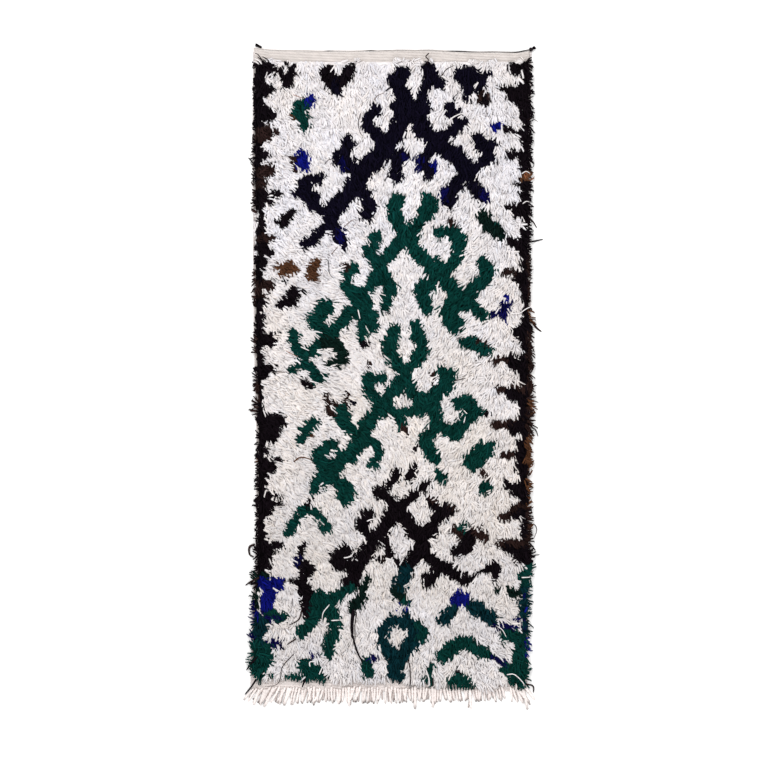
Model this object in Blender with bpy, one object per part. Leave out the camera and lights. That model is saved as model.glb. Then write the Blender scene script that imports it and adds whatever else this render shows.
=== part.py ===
"""A hand-knotted berber runner: a woven ground, its shag pile, a warp fringe and a corded top edge.

Metres, +Z up. The rug lies on the plane z = 0 with its length along Y: the flat-woven heading is
at +Y and the warp fringe at -Y.
"""

import math
import random
from collections import namedtuple

import bmesh
import bpy
from mathutils import Vector

GAP = 0.0003               # clearance between neighbouring pieces

# Woven ground
HEM_Y = -1.0914            # last weft, where the warps leave the cloth
GROUND_THICKNESS = 0.003
SELVEDGE_HEIGHT = 0.0046   # overcast side edge, a little proud of the ground
SELVEDGE_WIDTH = 0.008
GROUND_COLUMNS = 12        # between the two selvedges
GROUND_ROWS = 30

# Side edges of the ground, as uneven as hand weaving leaves them
SideEdge = namedtuple("SideEdge", "y left right")
SIDE_EDGES = [
    SideEdge(-1.20, -0.478, 0.460),
    SideEdge(-1.00, -0.479, 0.464),
    SideEdge(-0.80, -0.474, 0.467),
    SideEdge(-0.64, -0.463, 0.476),
    SideEdge(-0.45, -0.461, 0.468),
    SideEdge(-0.27, -0.459, 0.474),
    SideEdge(-0.10, -0.463, 0.477),
    SideEdge(0.15, -0.469, 0.475),
    SideEdge(0.45, -0.471, 0.471),
    SideEdge(0.75, -0.473, 0.474),
    SideEdge(1.20, -0.470, 0.477),
]

# Top edge of the heading, which sags between its two corners
TopEdge = namedtuple("TopEdge", "x y")
TOP_EDGE = [
    TopEdge(-0.472, 1.098),
    TopEdge(-0.400, 1.091),
    TopEdge(-0.200, 1.088),
    TopEdge(0.100, 1.091),
    TopEdge(0.300, 1.085),
    TopEdge(0.420, 1.084),
    TopEdge(0.479, 1.093),
]

# Shag pile: overlapping rows of long locks
PILE_TOP_Y = 1.050
PILE_BOTTOM_Y = -1.069
PILE_INSET = 0.0095        # bare selvedge beside the knots
PILE_COLUMNS = 26
PILE_HALF_ROWS = 84        # a row of locks is a high tip and the low root behind it
PILE_HEIGHT = 0.0195
PILE_SHOULDER = 0.0062     # the rim stands upright below it, and its locks hang out above it
LOCK_STEP = 0.0110         # how far a tip stands over the root that it covers
LOCK_LAP = 0.009           # how far a tip is combed over the row below it
LUMP_HEIGHT = 0.0035
LUMP_SPACING = 0.17
SHIFT_ACROSS = 0.010       # unevenness of the locks' places
SHIFT_ALONG = 0.005
SHIFT_UP = 0.001

# Locks round the rim of the pile
SIDE_REACH = 0.017
END_REACH = 0.013
REACH_SPREAD = 0.006
LOCK_MID_REACH = 0.55      # the first length of a lock, as a share of its reach
LOCK_MID_WIDTH = 0.78      # as a share of the width at the root
LOCK_MID_HEIGHT = 0.80     # as a share of the height at the root
LOCK_TIP_WIDTH = 0.36
LOCK_TIP_HEIGHT = 0.34
LOCK_UNDERSIDE = 0.0052    # above the floor, clear of the selvedge
LOCK_SWAY = 0.004

# Locks that reach further than their neighbours
LongLock = namedtuple("LongLock", "side y reach")
LONG_LOCKS = [
    LongLock("left", 0.45, 0.024),
    LongLock("left", -0.12, 0.028),
    LongLock("left", -0.60, 0.030),
    LongLock("left", -0.73, 0.028),
    LongLock("left", -1.04, 0.034),
    LongLock("right", 0.45, 0.034),
    LongLock("right", 0.14, 0.036),
    LongLock("right", -0.11, 0.034),
    LongLock("right", -0.22, 0.034),
    LongLock("right", -0.57, 0.036),
    LongLock("right", -1.00, 0.030),
]

# Warp fringe
STRIP_DEPTH = 0.010
STRIP_THICKNESS = 0.003
STRIP_INSET = 0.004        # at both ends of the hem
STRAND_PITCH = 0.0092
STRAND_ROOT_WIDTH = 0.0058
STRAND_MID_WIDTH = 0.0054
STRAND_TIP_WIDTH = 0.0032
STRAND_MID_THICKNESS = 0.0044
STRAND_TIP_THICKNESS = 0.0024
STRAND_LENGTH = 0.036      # of an ordinary strand
STRAND_SPREAD = 0.006
RIPPLE_DEGREES = 3.0       # strands gather and part in small groups
RIPPLE_LENGTH = 0.110

# How the strands lean towards +X along the hem, and their length against an ordinary strand
Lean = namedtuple("Lean", "x degrees length")
FRINGE_LEAN = [
    Lean(-0.480, -50.0, 1.15),
    Lean(-0.440, -34.0, 1.25),
    Lean(-0.380, -18.0, 1.30),
    Lean(-0.300, -10.0, 1.15),
    Lean(-0.160, -2.0, 1.00),
    Lean(0.060, 2.0, 1.00),
    Lean(0.240, 6.0, 0.90),
    Lean(0.380, 12.0, 0.85),
    Lean(0.430, 24.0, 1.20),
    Lean(0.470, 42.0, 1.00),
]

# Strands left longer than the rest, and places where some have worn away
LongStrand = namedtuple("LongStrand", "x length")
LONG_STRANDS = [
    LongStrand(-0.405, 0.062),
    LongStrand(-0.148, 0.052),
    LongStrand(0.078, 0.062),
    LongStrand(0.141, 0.056),
    LongStrand(0.262, 0.060),
    LongStrand(0.440, 0.066),
]
Bare = namedtuple("Bare", "x width")
BARE_PLACES = [
    Bare(-0.026, 0.014),
    Bare(0.237, 0.012),
    Bare(0.386, 0.022),
]

# Dark cord twined along the top edge of the heading
CORD_RADIUS = 0.0016
CORD_STEPS = 3             # between two columns of the ground
CORD_WAVE = 0.0005
CORD_WAVE_LENGTH = 0.11

# Cord ends tied off at the two top corners: where each starts, the way it points, its size
Knot = namedtuple("Knot", "name x y degrees length radius")
CORNER_KNOTS = [
    Knot("corner_knot_left", -0.4425, 1.1026, 156.0, 0.026, 0.0046),
    Knot("corner_knot_right", 0.4768, 1.0966, 38.0, 0.022, 0.0060),
]
KnotRing = namedtuple("KnotRing", "along girth")
KNOT_RINGS = [
    KnotRing(0.00, 0.45),
    KnotRing(0.14, 0.90),
    KnotRing(0.34, 1.00),
    KnotRing(0.52, 0.62),
    KnotRing(0.70, 0.86),
    KnotRing(0.88, 0.60),
    KnotRing(1.00, 0.25),
]
KNOT_SIDES = 8

# Colours and roughness of the yarns
IVORY_WOOL = (0.78, 0.71, 0.67)
HEADING_WOOL = (0.75, 0.68, 0.63)
FRINGE_WOOL = (0.70, 0.61, 0.58)
DARK_WOOL = (0.020, 0.016, 0.022)
WOOL_ROUGHNESS = 0.95
SHARP_ANGLE = 0.7


def clear_scene():
    for item in list(bpy.data.objects):
        bpy.data.objects.remove(item, do_unlink=True)


def wool_material(name, colour):
    material = bpy.data.materials.new(name)
    material.use_nodes = True
    shader = material.node_tree.nodes["Principled BSDF"]
    shader.inputs["Base Color"].default_value = (*colour, 1.0)
    shader.inputs["Roughness"].default_value = WOOL_ROUGHNESS
    shader.inputs["Metallic"].default_value = 0.0
    return material


def add_mesh_object(name, bm, colour):
    """Turns a finished bmesh into a named object with its own material."""
    bmesh.ops.recalc_face_normals(bm, faces=bm.faces)
    mesh = bpy.data.meshes.new(name)
    bm.to_mesh(mesh)
    bm.free()
    mesh.shade_smooth()
    mesh.set_sharp_from_angle(angle=SHARP_ANGLE)
    mesh.materials.append(wool_material(name, colour))
    bpy.context.collection.objects.link(bpy.data.objects.new(name, mesh))


def read_table(rows, key, value, at):
    """Reads a column of a short table between its rows, easing from one row to the next."""
    lower = rows[0]
    if at <= getattr(lower, key):
        return getattr(lower, value)
    for upper in rows[1:]:
        start, end = getattr(lower, key), getattr(upper, key)
        if at <= end:
            share = (at - start) / (end - start)
            ease = share * share * (3.0 - 2.0 * share)
            return getattr(lower, value) * (1.0 - ease) + getattr(upper, value) * ease
        lower = upper
    return getattr(lower, value)


def side_edges(y):
    return read_table(SIDE_EDGES, "y", "left", y), read_table(SIDE_EDGES, "y", "right", y)


def fold_square(bm, a, b, c, d):
    """Splits a square of a grid along its lower diagonal, so that its high corners stand up."""
    if a.co.z + c.co.z < b.co.z + d.co.z:
        bm.faces.new((a, b, c))
        bm.faces.new((a, c, d))
    else:
        bm.faces.new((b, c, d))
        bm.faces.new((b, d, a))


def build_slab(bm, grid, levels):
    """Closes a grid of upper points with a rim that steps down to a flat underside.

    Returns the faces of the rim's first step, one list for each side of the grid.
    """
    above = [[bm.verts.new(point) for point in row] for row in grid]
    for lower, upper in zip(above, above[1:]):
        for i in range(len(lower) - 1):
            fold_square(bm, lower[i], lower[i + 1], upper[i + 1], upper[i])
    edges = {
        "bottom": above[0][:-1],
        "right": [row[-1] for row in above[:-1]],
        "top": above[-1][:0:-1],
        "left": [row[0] for row in above[:0:-1]],
    }
    loop = [vert for edge in edges.values() for vert in edge]
    steps = []
    for level in levels:
        below = [bm.verts.new((vert.co.x, vert.co.y, level)) for vert in loop]
        ring = []
        for i in range(len(loop)):
            j = (i + 1) % len(loop)
            ring.append(bm.faces.new((loop[i], below[i], below[j], loop[j])))
        steps.append(ring)
        loop = below
    bm.faces.new(loop[::-1])
    sides = {}
    first = 0
    for name, edge in edges.items():
        sides[name] = steps[0][first:first + len(edge)]
        first += len(edge)
    return sides


def ground_place(inset_left, inset_right, share_across, share_along, height):
    """A point of the ground's upper face, set in from its side edges."""
    level_y = HEM_Y + (TOP_EDGE[0].y - HEM_Y) * share_along
    left, right = side_edges(level_y)
    left += inset_left
    right -= inset_right
    x = left + (right - left) * share_across
    y = HEM_Y + (read_table(TOP_EDGE, "x", "y", x) - HEM_Y) * share_along
    return Vector((x, y, height))


def ground_grid():
    """Rows of points from hem to heading, with an overcast ridge along each side edge."""
    ridge = [
        (0.0, SELVEDGE_HEIGHT * 0.6),
        (SELVEDGE_WIDTH * 0.4, SELVEDGE_HEIGHT),
    ]
    grid = []
    for j in range(GROUND_ROWS + 1):
        along = j / GROUND_ROWS
        row = [ground_place(inset, 0.0, 0.0, along, height) for inset, height in ridge]
        for i in range(GROUND_COLUMNS + 1):
            across = i / GROUND_COLUMNS
            row.append(ground_place(SELVEDGE_WIDTH, SELVEDGE_WIDTH, across, along, GROUND_THICKNESS))
        row += [ground_place(0.0, inset, 1.0, along, height) for inset, height in reversed(ridge)]
        grid.append(row)
    return grid


def make_ground():
    """The woven cloth: a thin slab with a raised ridge down each side."""
    bm = bmesh.new()
    build_slab(bm, ground_grid(), [0.0])
    add_mesh_object("ground_weave", bm, HEADING_WOOL)


def lump(x, y):
    """Slow swelling of the pile, where its locks lie thicker or thinner."""
    wave = 2.0 * math.pi / LUMP_SPACING
    across = math.sin(wave * x + 1.3 * math.sin(wave * 0.6 * y))
    along = math.sin(wave * 1.7 * y + 2.1 * math.sin(wave * 0.5 * x))
    return LUMP_HEIGHT * (0.6 * across + 0.4 * along)


def pile_place(column, row, noise):
    """A point of the pile's upper face: tips and roots take turns along and across."""
    inside = 0 < column < PILE_COLUMNS and 0 < row < PILE_HALF_ROWS
    y = PILE_BOTTOM_Y + (PILE_TOP_Y - PILE_BOTTOM_Y) * row / PILE_HALF_ROWS
    left, right = side_edges(y)
    x = left + PILE_INSET + (right - left - 2.0 * PILE_INSET) * column / PILE_COLUMNS
    if inside:
        x += SHIFT_ACROSS * noise.uniform(-1.0, 1.0)
        y += SHIFT_ALONG * noise.uniform(-1.0, 1.0)
    step = 0.5 if (row + column) % 2 == 0 else -0.5
    if inside and step > 0.0:
        y -= LOCK_LAP
    z = PILE_HEIGHT + lump(x, y) + LOCK_STEP * step + SHIFT_UP * noise.uniform(-1.0, 1.0)
    return Vector((x, y, z))


def reach_of_lock(side, y, noise):
    """How far a lock reaches out of the rim, with the long ones at their own places."""
    pitch = 2.0 * (PILE_TOP_Y - PILE_BOTTOM_Y) / PILE_HALF_ROWS
    for lock in LONG_LOCKS:
        if lock.side == side and abs(lock.y - y) <= pitch / 2.0:
            return lock.reach
    usual = SIDE_REACH if side in ("left", "right") else END_REACH
    return usual + REACH_SPREAD * noise.uniform(-1.0, 1.0)


def pull_lock(face, outwards, reach, sway, width, height):
    """Moves the end of a lock outwards, narrows it and flattens it towards its underside."""
    centre = face.calc_center_median()
    sideways = Vector((-outwards.y, outwards.x, 0.0))
    for vert in face.verts:
        offset = (vert.co - centre).dot(sideways)
        upper = vert.co.z > centre.z
        flat = centre + outwards * reach + sideways * (offset * width + sway)
        thickness = (vert.co.z - LOCK_UNDERSIDE) * height if upper else 0.0
        vert.co = Vector((flat.x, flat.y, LOCK_UNDERSIDE + thickness))


def grow_lock(bm, face, side, noise):
    """Extrudes a face of the rim into a lock of two lengths that tapers and droops."""
    outwards = {
        "left": Vector((-1.0, 0.0, 0.0)),
        "right": Vector((1.0, 0.0, 0.0)),
        "top": Vector((0.0, 1.0, 0.0)),
        "bottom": Vector((0.0, -1.0, 0.0)),
    }[side]
    reach = reach_of_lock(side, face.calc_center_median().y, noise)
    sway = LOCK_SWAY * noise.uniform(-1.0, 1.0)
    middle = bmesh.ops.extrude_discrete_faces(bm, faces=[face])["faces"][0]
    pull_lock(middle, outwards, reach * LOCK_MID_REACH, sway, LOCK_MID_WIDTH, LOCK_MID_HEIGHT)
    tip = bmesh.ops.extrude_discrete_faces(bm, faces=[middle])["faces"][0]
    rest = reach * (1.0 - LOCK_MID_REACH)
    narrowing = LOCK_TIP_WIDTH / LOCK_MID_WIDTH
    pull_lock(tip, outwards, rest, sway, narrowing, LOCK_TIP_HEIGHT / LOCK_MID_HEIGHT)


def make_pile():
    """The shag: a lumpy slab of overlapping locks, with separate locks round its rim."""
    noise = random.Random(41)
    grid = [
        [pile_place(column, row, noise) for column in range(PILE_COLUMNS + 1)]
        for row in range(PILE_HALF_ROWS + 1)
    ]
    bm = bmesh.new()
    sides = build_slab(bm, grid, [PILE_SHOULDER, GROUND_THICKNESS + GAP])
    for side, faces in sides.items():
        stride = 2 if side in ("left", "right") else 1
        for face in faces[::stride]:
            grow_lock(bm, face, side, noise)
    add_mesh_object("pile_shag", bm, IVORY_WOOL)


def place_strand_end(face, centre, lean, width, thickness):
    """Puts one end of a fringe strand flat on the floor, square to the way it leans."""
    sideways = Vector((math.cos(lean), math.sin(lean), 0.0))
    middle = face.calc_center_median()
    for vert in face.verts:
        side = 0.5 if (vert.co - middle).dot(sideways) > 0.0 else -0.5
        height = thickness if vert.co.z > middle.z else 0.0
        flat = centre + sideways * width * side
        vert.co = Vector((flat.x, flat.y, height))


def grow_strand(bm, face, lean, length):
    """Extrudes a face of the strip into a strand of two lengths that lies on the floor."""
    root = face.calc_center_median()
    forward = Vector((math.sin(lean), -math.cos(lean), 0.0))
    middle = bmesh.ops.extrude_discrete_faces(bm, faces=[face])["faces"][0]
    centre = root + forward * length * 0.5
    place_strand_end(middle, centre, lean, STRAND_MID_WIDTH, STRAND_MID_THICKNESS)
    tip = bmesh.ops.extrude_discrete_faces(bm, faces=[middle])["faces"][0]
    centre = root + forward * length
    place_strand_end(tip, centre, lean, STRAND_TIP_WIDTH, STRAND_TIP_THICKNESS)


def strand_length(x, noise):
    for strand in LONG_STRANDS:
        if abs(strand.x - x) <= STRAND_PITCH / 2.0:
            return strand.length
    usual = STRAND_LENGTH * read_table(FRINGE_LEAN, "x", "length", x)
    return usual + STRAND_SPREAD * noise.uniform(-1.0, 1.0)


def strand_lean(x):
    ripple = RIPPLE_DEGREES * math.sin(2.0 * math.pi * x / RIPPLE_LENGTH)
    return math.radians(read_table(FRINGE_LEAN, "x", "degrees", x) + ripple)


def make_fringe():
    """Warp ends that stand apart but for their roots in a narrow strip below the hem."""
    noise = random.Random(7)
    left, right = side_edges(HEM_Y)
    left += STRIP_INSET
    right -= STRIP_INSET
    count = int((right - left) / STRAND_PITCH)
    pitch = (right - left) / count
    centres = [left + pitch * (i + 0.5) for i in range(count)]
    stops = [left]
    for x in centres:
        stops += [x - STRAND_ROOT_WIDTH / 2.0, x + STRAND_ROOT_WIDTH / 2.0]
    stops.append(right)
    back = HEM_Y - GAP
    front = back - STRIP_DEPTH
    grid = [[Vector((x, y, STRIP_THICKNESS)) for x in stops] for y in (front, back)]
    bm = bmesh.new()
    roots = build_slab(bm, grid, [0.0])["bottom"][1::2]
    for x, root in zip(centres, roots):
        length = strand_length(x, noise)
        if any(abs(bare.x - x) < bare.width / 2.0 for bare in BARE_PLACES):
            continue
        grow_strand(bm, root, strand_lean(x), length)
    add_mesh_object("fringe_bottom", bm, FRINGE_WOOL)


def make_edge_cord():
    """The twined cord that finishes the top edge, as one bevelled curve."""
    curve = bpy.data.curves.new("edge_cord_top", "CURVE")
    curve.dimensions = "3D"
    curve.bevel_depth = CORD_RADIUS
    curve.bevel_resolution = 1
    curve.use_fill_caps = True
    heading = ground_grid()[-1]
    clear = CORD_RADIUS + 2.0 * GAP + CORD_WAVE
    route = []
    for start, end in zip(heading, heading[1:]):
        for i in range(CORD_STEPS):
            route.append(start.lerp(end, i / CORD_STEPS))
    spline = curve.splines.new("POLY")
    spline.points.add(len(route) - 1)
    for place, point in zip(route, spline.points):
        wave = CORD_WAVE * math.sin(2.0 * math.pi * place.x / CORD_WAVE_LENGTH)
        point.co = (place.x, place.y + clear + wave, CORD_RADIUS + GAP, 1.0)
    curve.materials.append(wool_material("edge_cord_top", DARK_WOOL))
    bpy.context.collection.objects.link(bpy.data.objects.new("edge_cord_top", curve))


def make_corner_knot(knot):
    """The cord's end, tied off in a soft knot with a short brush of yarn."""
    lean = math.radians(knot.degrees)
    forward = Vector((math.cos(lean), math.sin(lean), 0.0))
    sideways = Vector((-forward.y, forward.x, 0.0))
    start = Vector((knot.x, knot.y, GAP))
    bm = bmesh.new()
    rings = []
    for ring in KNOT_RINGS:
        girth = knot.radius * ring.girth
        centre = start + forward * knot.length * ring.along + Vector((0.0, 0.0, girth))
        points = []
        for i in range(KNOT_SIDES):
            turn = 2.0 * math.pi * i / KNOT_SIDES
            up = Vector((0.0, 0.0, girth * math.sin(turn)))
            points.append(bm.verts.new(centre + sideways * girth * math.cos(turn) + up))
        rings.append(points)
    for lower, upper in zip(rings, rings[1:]):
        for i in range(KNOT_SIDES):
            j = (i + 1) % KNOT_SIDES
            bm.faces.new((lower[i], lower[j], upper[j], upper[i]))
    bm.faces.new(rings[0][::-1])
    bm.faces.new(rings[-1])
    add_mesh_object(knot.name, bm, DARK_WOOL)


def main():
    clear_scene()
    make_ground()
    make_pile()
    make_fringe()
    make_edge_cord()
    for knot in CORNER_KNOTS:
        make_corner_knot(knot)


main()
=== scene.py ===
"""The looks of a hand-knotted berber runner: dyed shag, woven heading, fringe and corded edge.

Metres, +Z up. The rug lies on z = 0 with its heading at +Y. The motifs are charted on
squared paper, as a weaver would: one square is one column of the chart and one row of it.
"""

import math
from collections import namedtuple
import bpy
import numpy as np
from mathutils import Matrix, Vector


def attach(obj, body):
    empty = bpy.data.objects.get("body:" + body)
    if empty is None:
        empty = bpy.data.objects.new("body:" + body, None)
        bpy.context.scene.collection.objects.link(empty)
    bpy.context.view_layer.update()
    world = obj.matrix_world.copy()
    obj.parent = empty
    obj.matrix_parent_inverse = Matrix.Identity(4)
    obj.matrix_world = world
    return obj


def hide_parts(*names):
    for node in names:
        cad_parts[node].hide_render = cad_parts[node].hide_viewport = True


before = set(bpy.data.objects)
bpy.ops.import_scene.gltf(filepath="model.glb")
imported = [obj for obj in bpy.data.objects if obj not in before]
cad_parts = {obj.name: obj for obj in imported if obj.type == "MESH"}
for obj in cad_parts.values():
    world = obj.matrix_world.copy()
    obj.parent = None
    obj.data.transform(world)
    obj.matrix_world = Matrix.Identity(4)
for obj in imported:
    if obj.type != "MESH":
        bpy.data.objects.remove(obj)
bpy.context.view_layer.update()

rng = np.random.default_rng(20)

# Squared paper of the pattern chart: rows count down from the heading, columns from the left
CHART_STEP = 0.0102
CHART_LEFT = -0.4811
CHART_TOP = 1.0982

# Dyes of the yarns, as sRGB values from 0 to 255
DYES = {
    "ivory": (231, 226, 226),
    "navy": (13, 10, 25),
    "green": (7, 55, 50),
    "pine": (10, 29, 25),
    "teal": (7, 43, 50),
    "black": (17, 11, 16),
    "blue": (14, 20, 112),
    "indigo": (12, 12, 66),
    "umber": (42, 28, 26),
    "brown": (86, 56, 38),
    "rust": (150, 94, 64),
}
DYE_NAMES = list(DYES)
IVORY = DYE_NAMES.index("ivory")
HEADING_WOOL = (213, 206, 202)
FOOT_WOOL = (231, 223, 220)
FRINGE_WOOL = (238, 229, 226)
# Grey of the fringe's lower strands: painted shadow between the upper strands
FRINGE_PAINTED_SHADOW = (190, 178, 174)
FRINGE_TIP = (66, 50, 46)
CORD_WOOL = (36, 30, 32)
SELVEDGE_WOOL = (222, 215, 214)

# Outline of the ground, as (y, x) down its sides and (x, y) along its top
HEM_Y = -1.0914
LEFT_EDGE = (
    (-1.20, -0.478), (-1.00, -0.479), (-0.80, -0.474), (-0.64, -0.463), (-0.45, -0.461),
    (-0.27, -0.459), (-0.10, -0.463), (0.15, -0.469), (0.45, -0.471), (0.75, -0.473),
    (1.20, -0.470),
)
RIGHT_EDGE = (
    (-1.20, 0.460), (-1.00, 0.464), (-0.80, 0.467), (-0.64, 0.476), (-0.45, 0.468),
    (-0.27, 0.474), (-0.10, 0.477), (0.15, 0.475), (0.45, 0.471), (0.75, 0.474),
    (1.20, 0.477),
)
TOP_EDGE = (
    (-0.472, 1.098), (-0.400, 1.091), (-0.200, 1.088), (0.100, 1.091), (0.300, 1.085),
    (0.420, 1.084), (0.479, 1.0912),
)

# Motifs down the rug. A stroke is its dye, its width and the points that it runs through,
# in squares of the chart.
NAVY_TREE = (
    ("navy", 4.0, (51.6, 8.4), (49.6, 8.0), (48.6, 9.4)),
    ("navy", 6.0, (49, 10), (49.8, 14), (52.4, 19)),
    ("navy", 4.8, (59.3, 6.8), (61, 9.8)),
    ("navy", 3.4, (59.4, 10), (58.6, 13), (57.2, 17)),
    ("navy", 2.4, (60.4, 12.6), (64.4, 12.4)),
    ("navy", 6.5, (50, 20), (57, 20.5)),
    ("navy", 6.4, (52, 22), (49.4, 27), (47, 31), (42.6, 36.6), (39, 40), (36.6, 44), (33.5, 48)),
    ("navy", 6.5, (33.5, 48), (30, 52), (27, 55)),
    ("navy", 4.2, (42, 21), (39.5, 23.5), (39, 26.5), (42.5, 29.5)),
    ("navy", 4.5, (32.5, 31), (32, 36), (34, 41)),
    ("navy", 3.0, (29, 35.4), (29.2, 38.4)),
    ("indigo", 1.5, (30.6, 37.5), (31, 40.5)),
    ("navy", 2.6, (37.2, 55), (39.5, 57)),
    ("navy", 6.2, (55, 23), (58.6, 28.4), (63, 32), (67.6, 35.6), (72, 40.5)),
    ("navy", 4.4, (62, 30), (66.5, 28.4), (71, 25.2)),
    ("navy", 4.6, (66.4, 20.8), (68.4, 21.8)),
    ("navy", 1.0, (70, 15), (68.5, 18)),
    ("navy", 4.4, (73, 8), (73.2, 12.5), (72.7, 15.2)),
    ("navy", 2.2, (72.7, 15.2), (72.5, 17.6)),
    ("navy", 3.6, (69.8, 8.4), (71.4, 12.5)),
    ("navy", 2.8, (75.4, 10.2), (79.2, 8.6)),
    ("navy", 3.4, (76.8, 9), (76.8, 13.5)),
    ("umber", 3.0, (77, 16), (78.8, 17.2)),
    ("black", 2.4, (78.4, 16.8), (78.6, 18.6)),
    ("navy", 4.0, (75.6, 30), (76.6, 33), (81, 32.6), (80, 36.8), (74.6, 41)),
    ("navy", 5.0, (69.2, 45.4), (66.4, 48.8), (66.2, 51.5)),
    ("indigo", 2.2, (64.4, 47.5), (64.2, 51)),
    ("navy", 4.0, (73, 43.5), (75.4, 47.5), (77.6, 50.6)),
    ("indigo", 2.8, (78, 48.5), (78.3, 50.5)),
    ("navy", 4.6, (50.8, 35.8), (49, 38), (48.4, 43)),
    ("navy", 4.2, (59.5, 34.5), (58, 38), (59.4, 42)),
    ("indigo", 1.8, (50.5, 35), (52, 38)),
    ("indigo", 2.4, (56, 37.5), (56.3, 40)),
    ("blue", 2.0, (61.5, 38.5), (62, 41)),
    ("navy", 3.8, (24, 43.3), (19, 44.5), (16, 48), (18.5, 50)),
    ("navy", 4.2, (18, 48.5), (21.6, 52.2), (26.2, 56)),
    ("navy", 3.8, (26.6, 58), (23, 62.6), (19, 65.4)),
    ("navy", 3.4, (19, 47.2), (22, 50)),
    ("navy", 4.4, (27, 57), (29, 62), (31.3, 65.4)),
    ("indigo", 2.4, (30, 61.5), (30.3, 64)),
    ("navy", 4.4, (37, 46), (39.4, 50.5), (40, 53.5), (38.6, 56)),
)
TOP_PATCHES = (
    ("black", 3.2, (13.6, 8), (12.8, 11.5)),
    ("black", 1.6, (12.3, 5), (13, 7)),
    ("black", 1.4, (14.8, 5.4), (14, 7)),
    ("black", 1.5, (14.5, 8.6), (16, 9)),
    ("black", 1.8, (9.8, 10.6), (12, 13)),
    ("black", 5.0, (25.6, 8.4), (28, 12.5)),
    ("black", 4.8, (33, 8), (29, 12.8)),
    ("navy", 3.6, (28.6, 12.5), (28.4, 15)),
    ("black", 1.0, (32.5, 6.5), (35.2, 5.6)),
    ("green", 5.4, (16.4, 20), (19, 18.4)),
    ("green", 4.6, (16, 21.5), (18.3, 25.8)),
    ("blue", 3.0, (20.3, 17), (20.8, 18.6)),
    ("blue", 1.0, (20.8, 14.8), (20.8, 17)),
    ("brown", 1.6, (13.3, 22.8), (14.2, 23.8)),
    ("blue", 5.0, (17.5, 36.5), (17.8, 38.5)),
    ("umber", 1.8, (14.6, 37), (15.4, 41)),
    ("blue", 3.8, (81.4, 26.6), (82.8, 25.9)),
    ("black", 3.4, (13.4, 55.6), (10.4, 58.6)),
)
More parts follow.
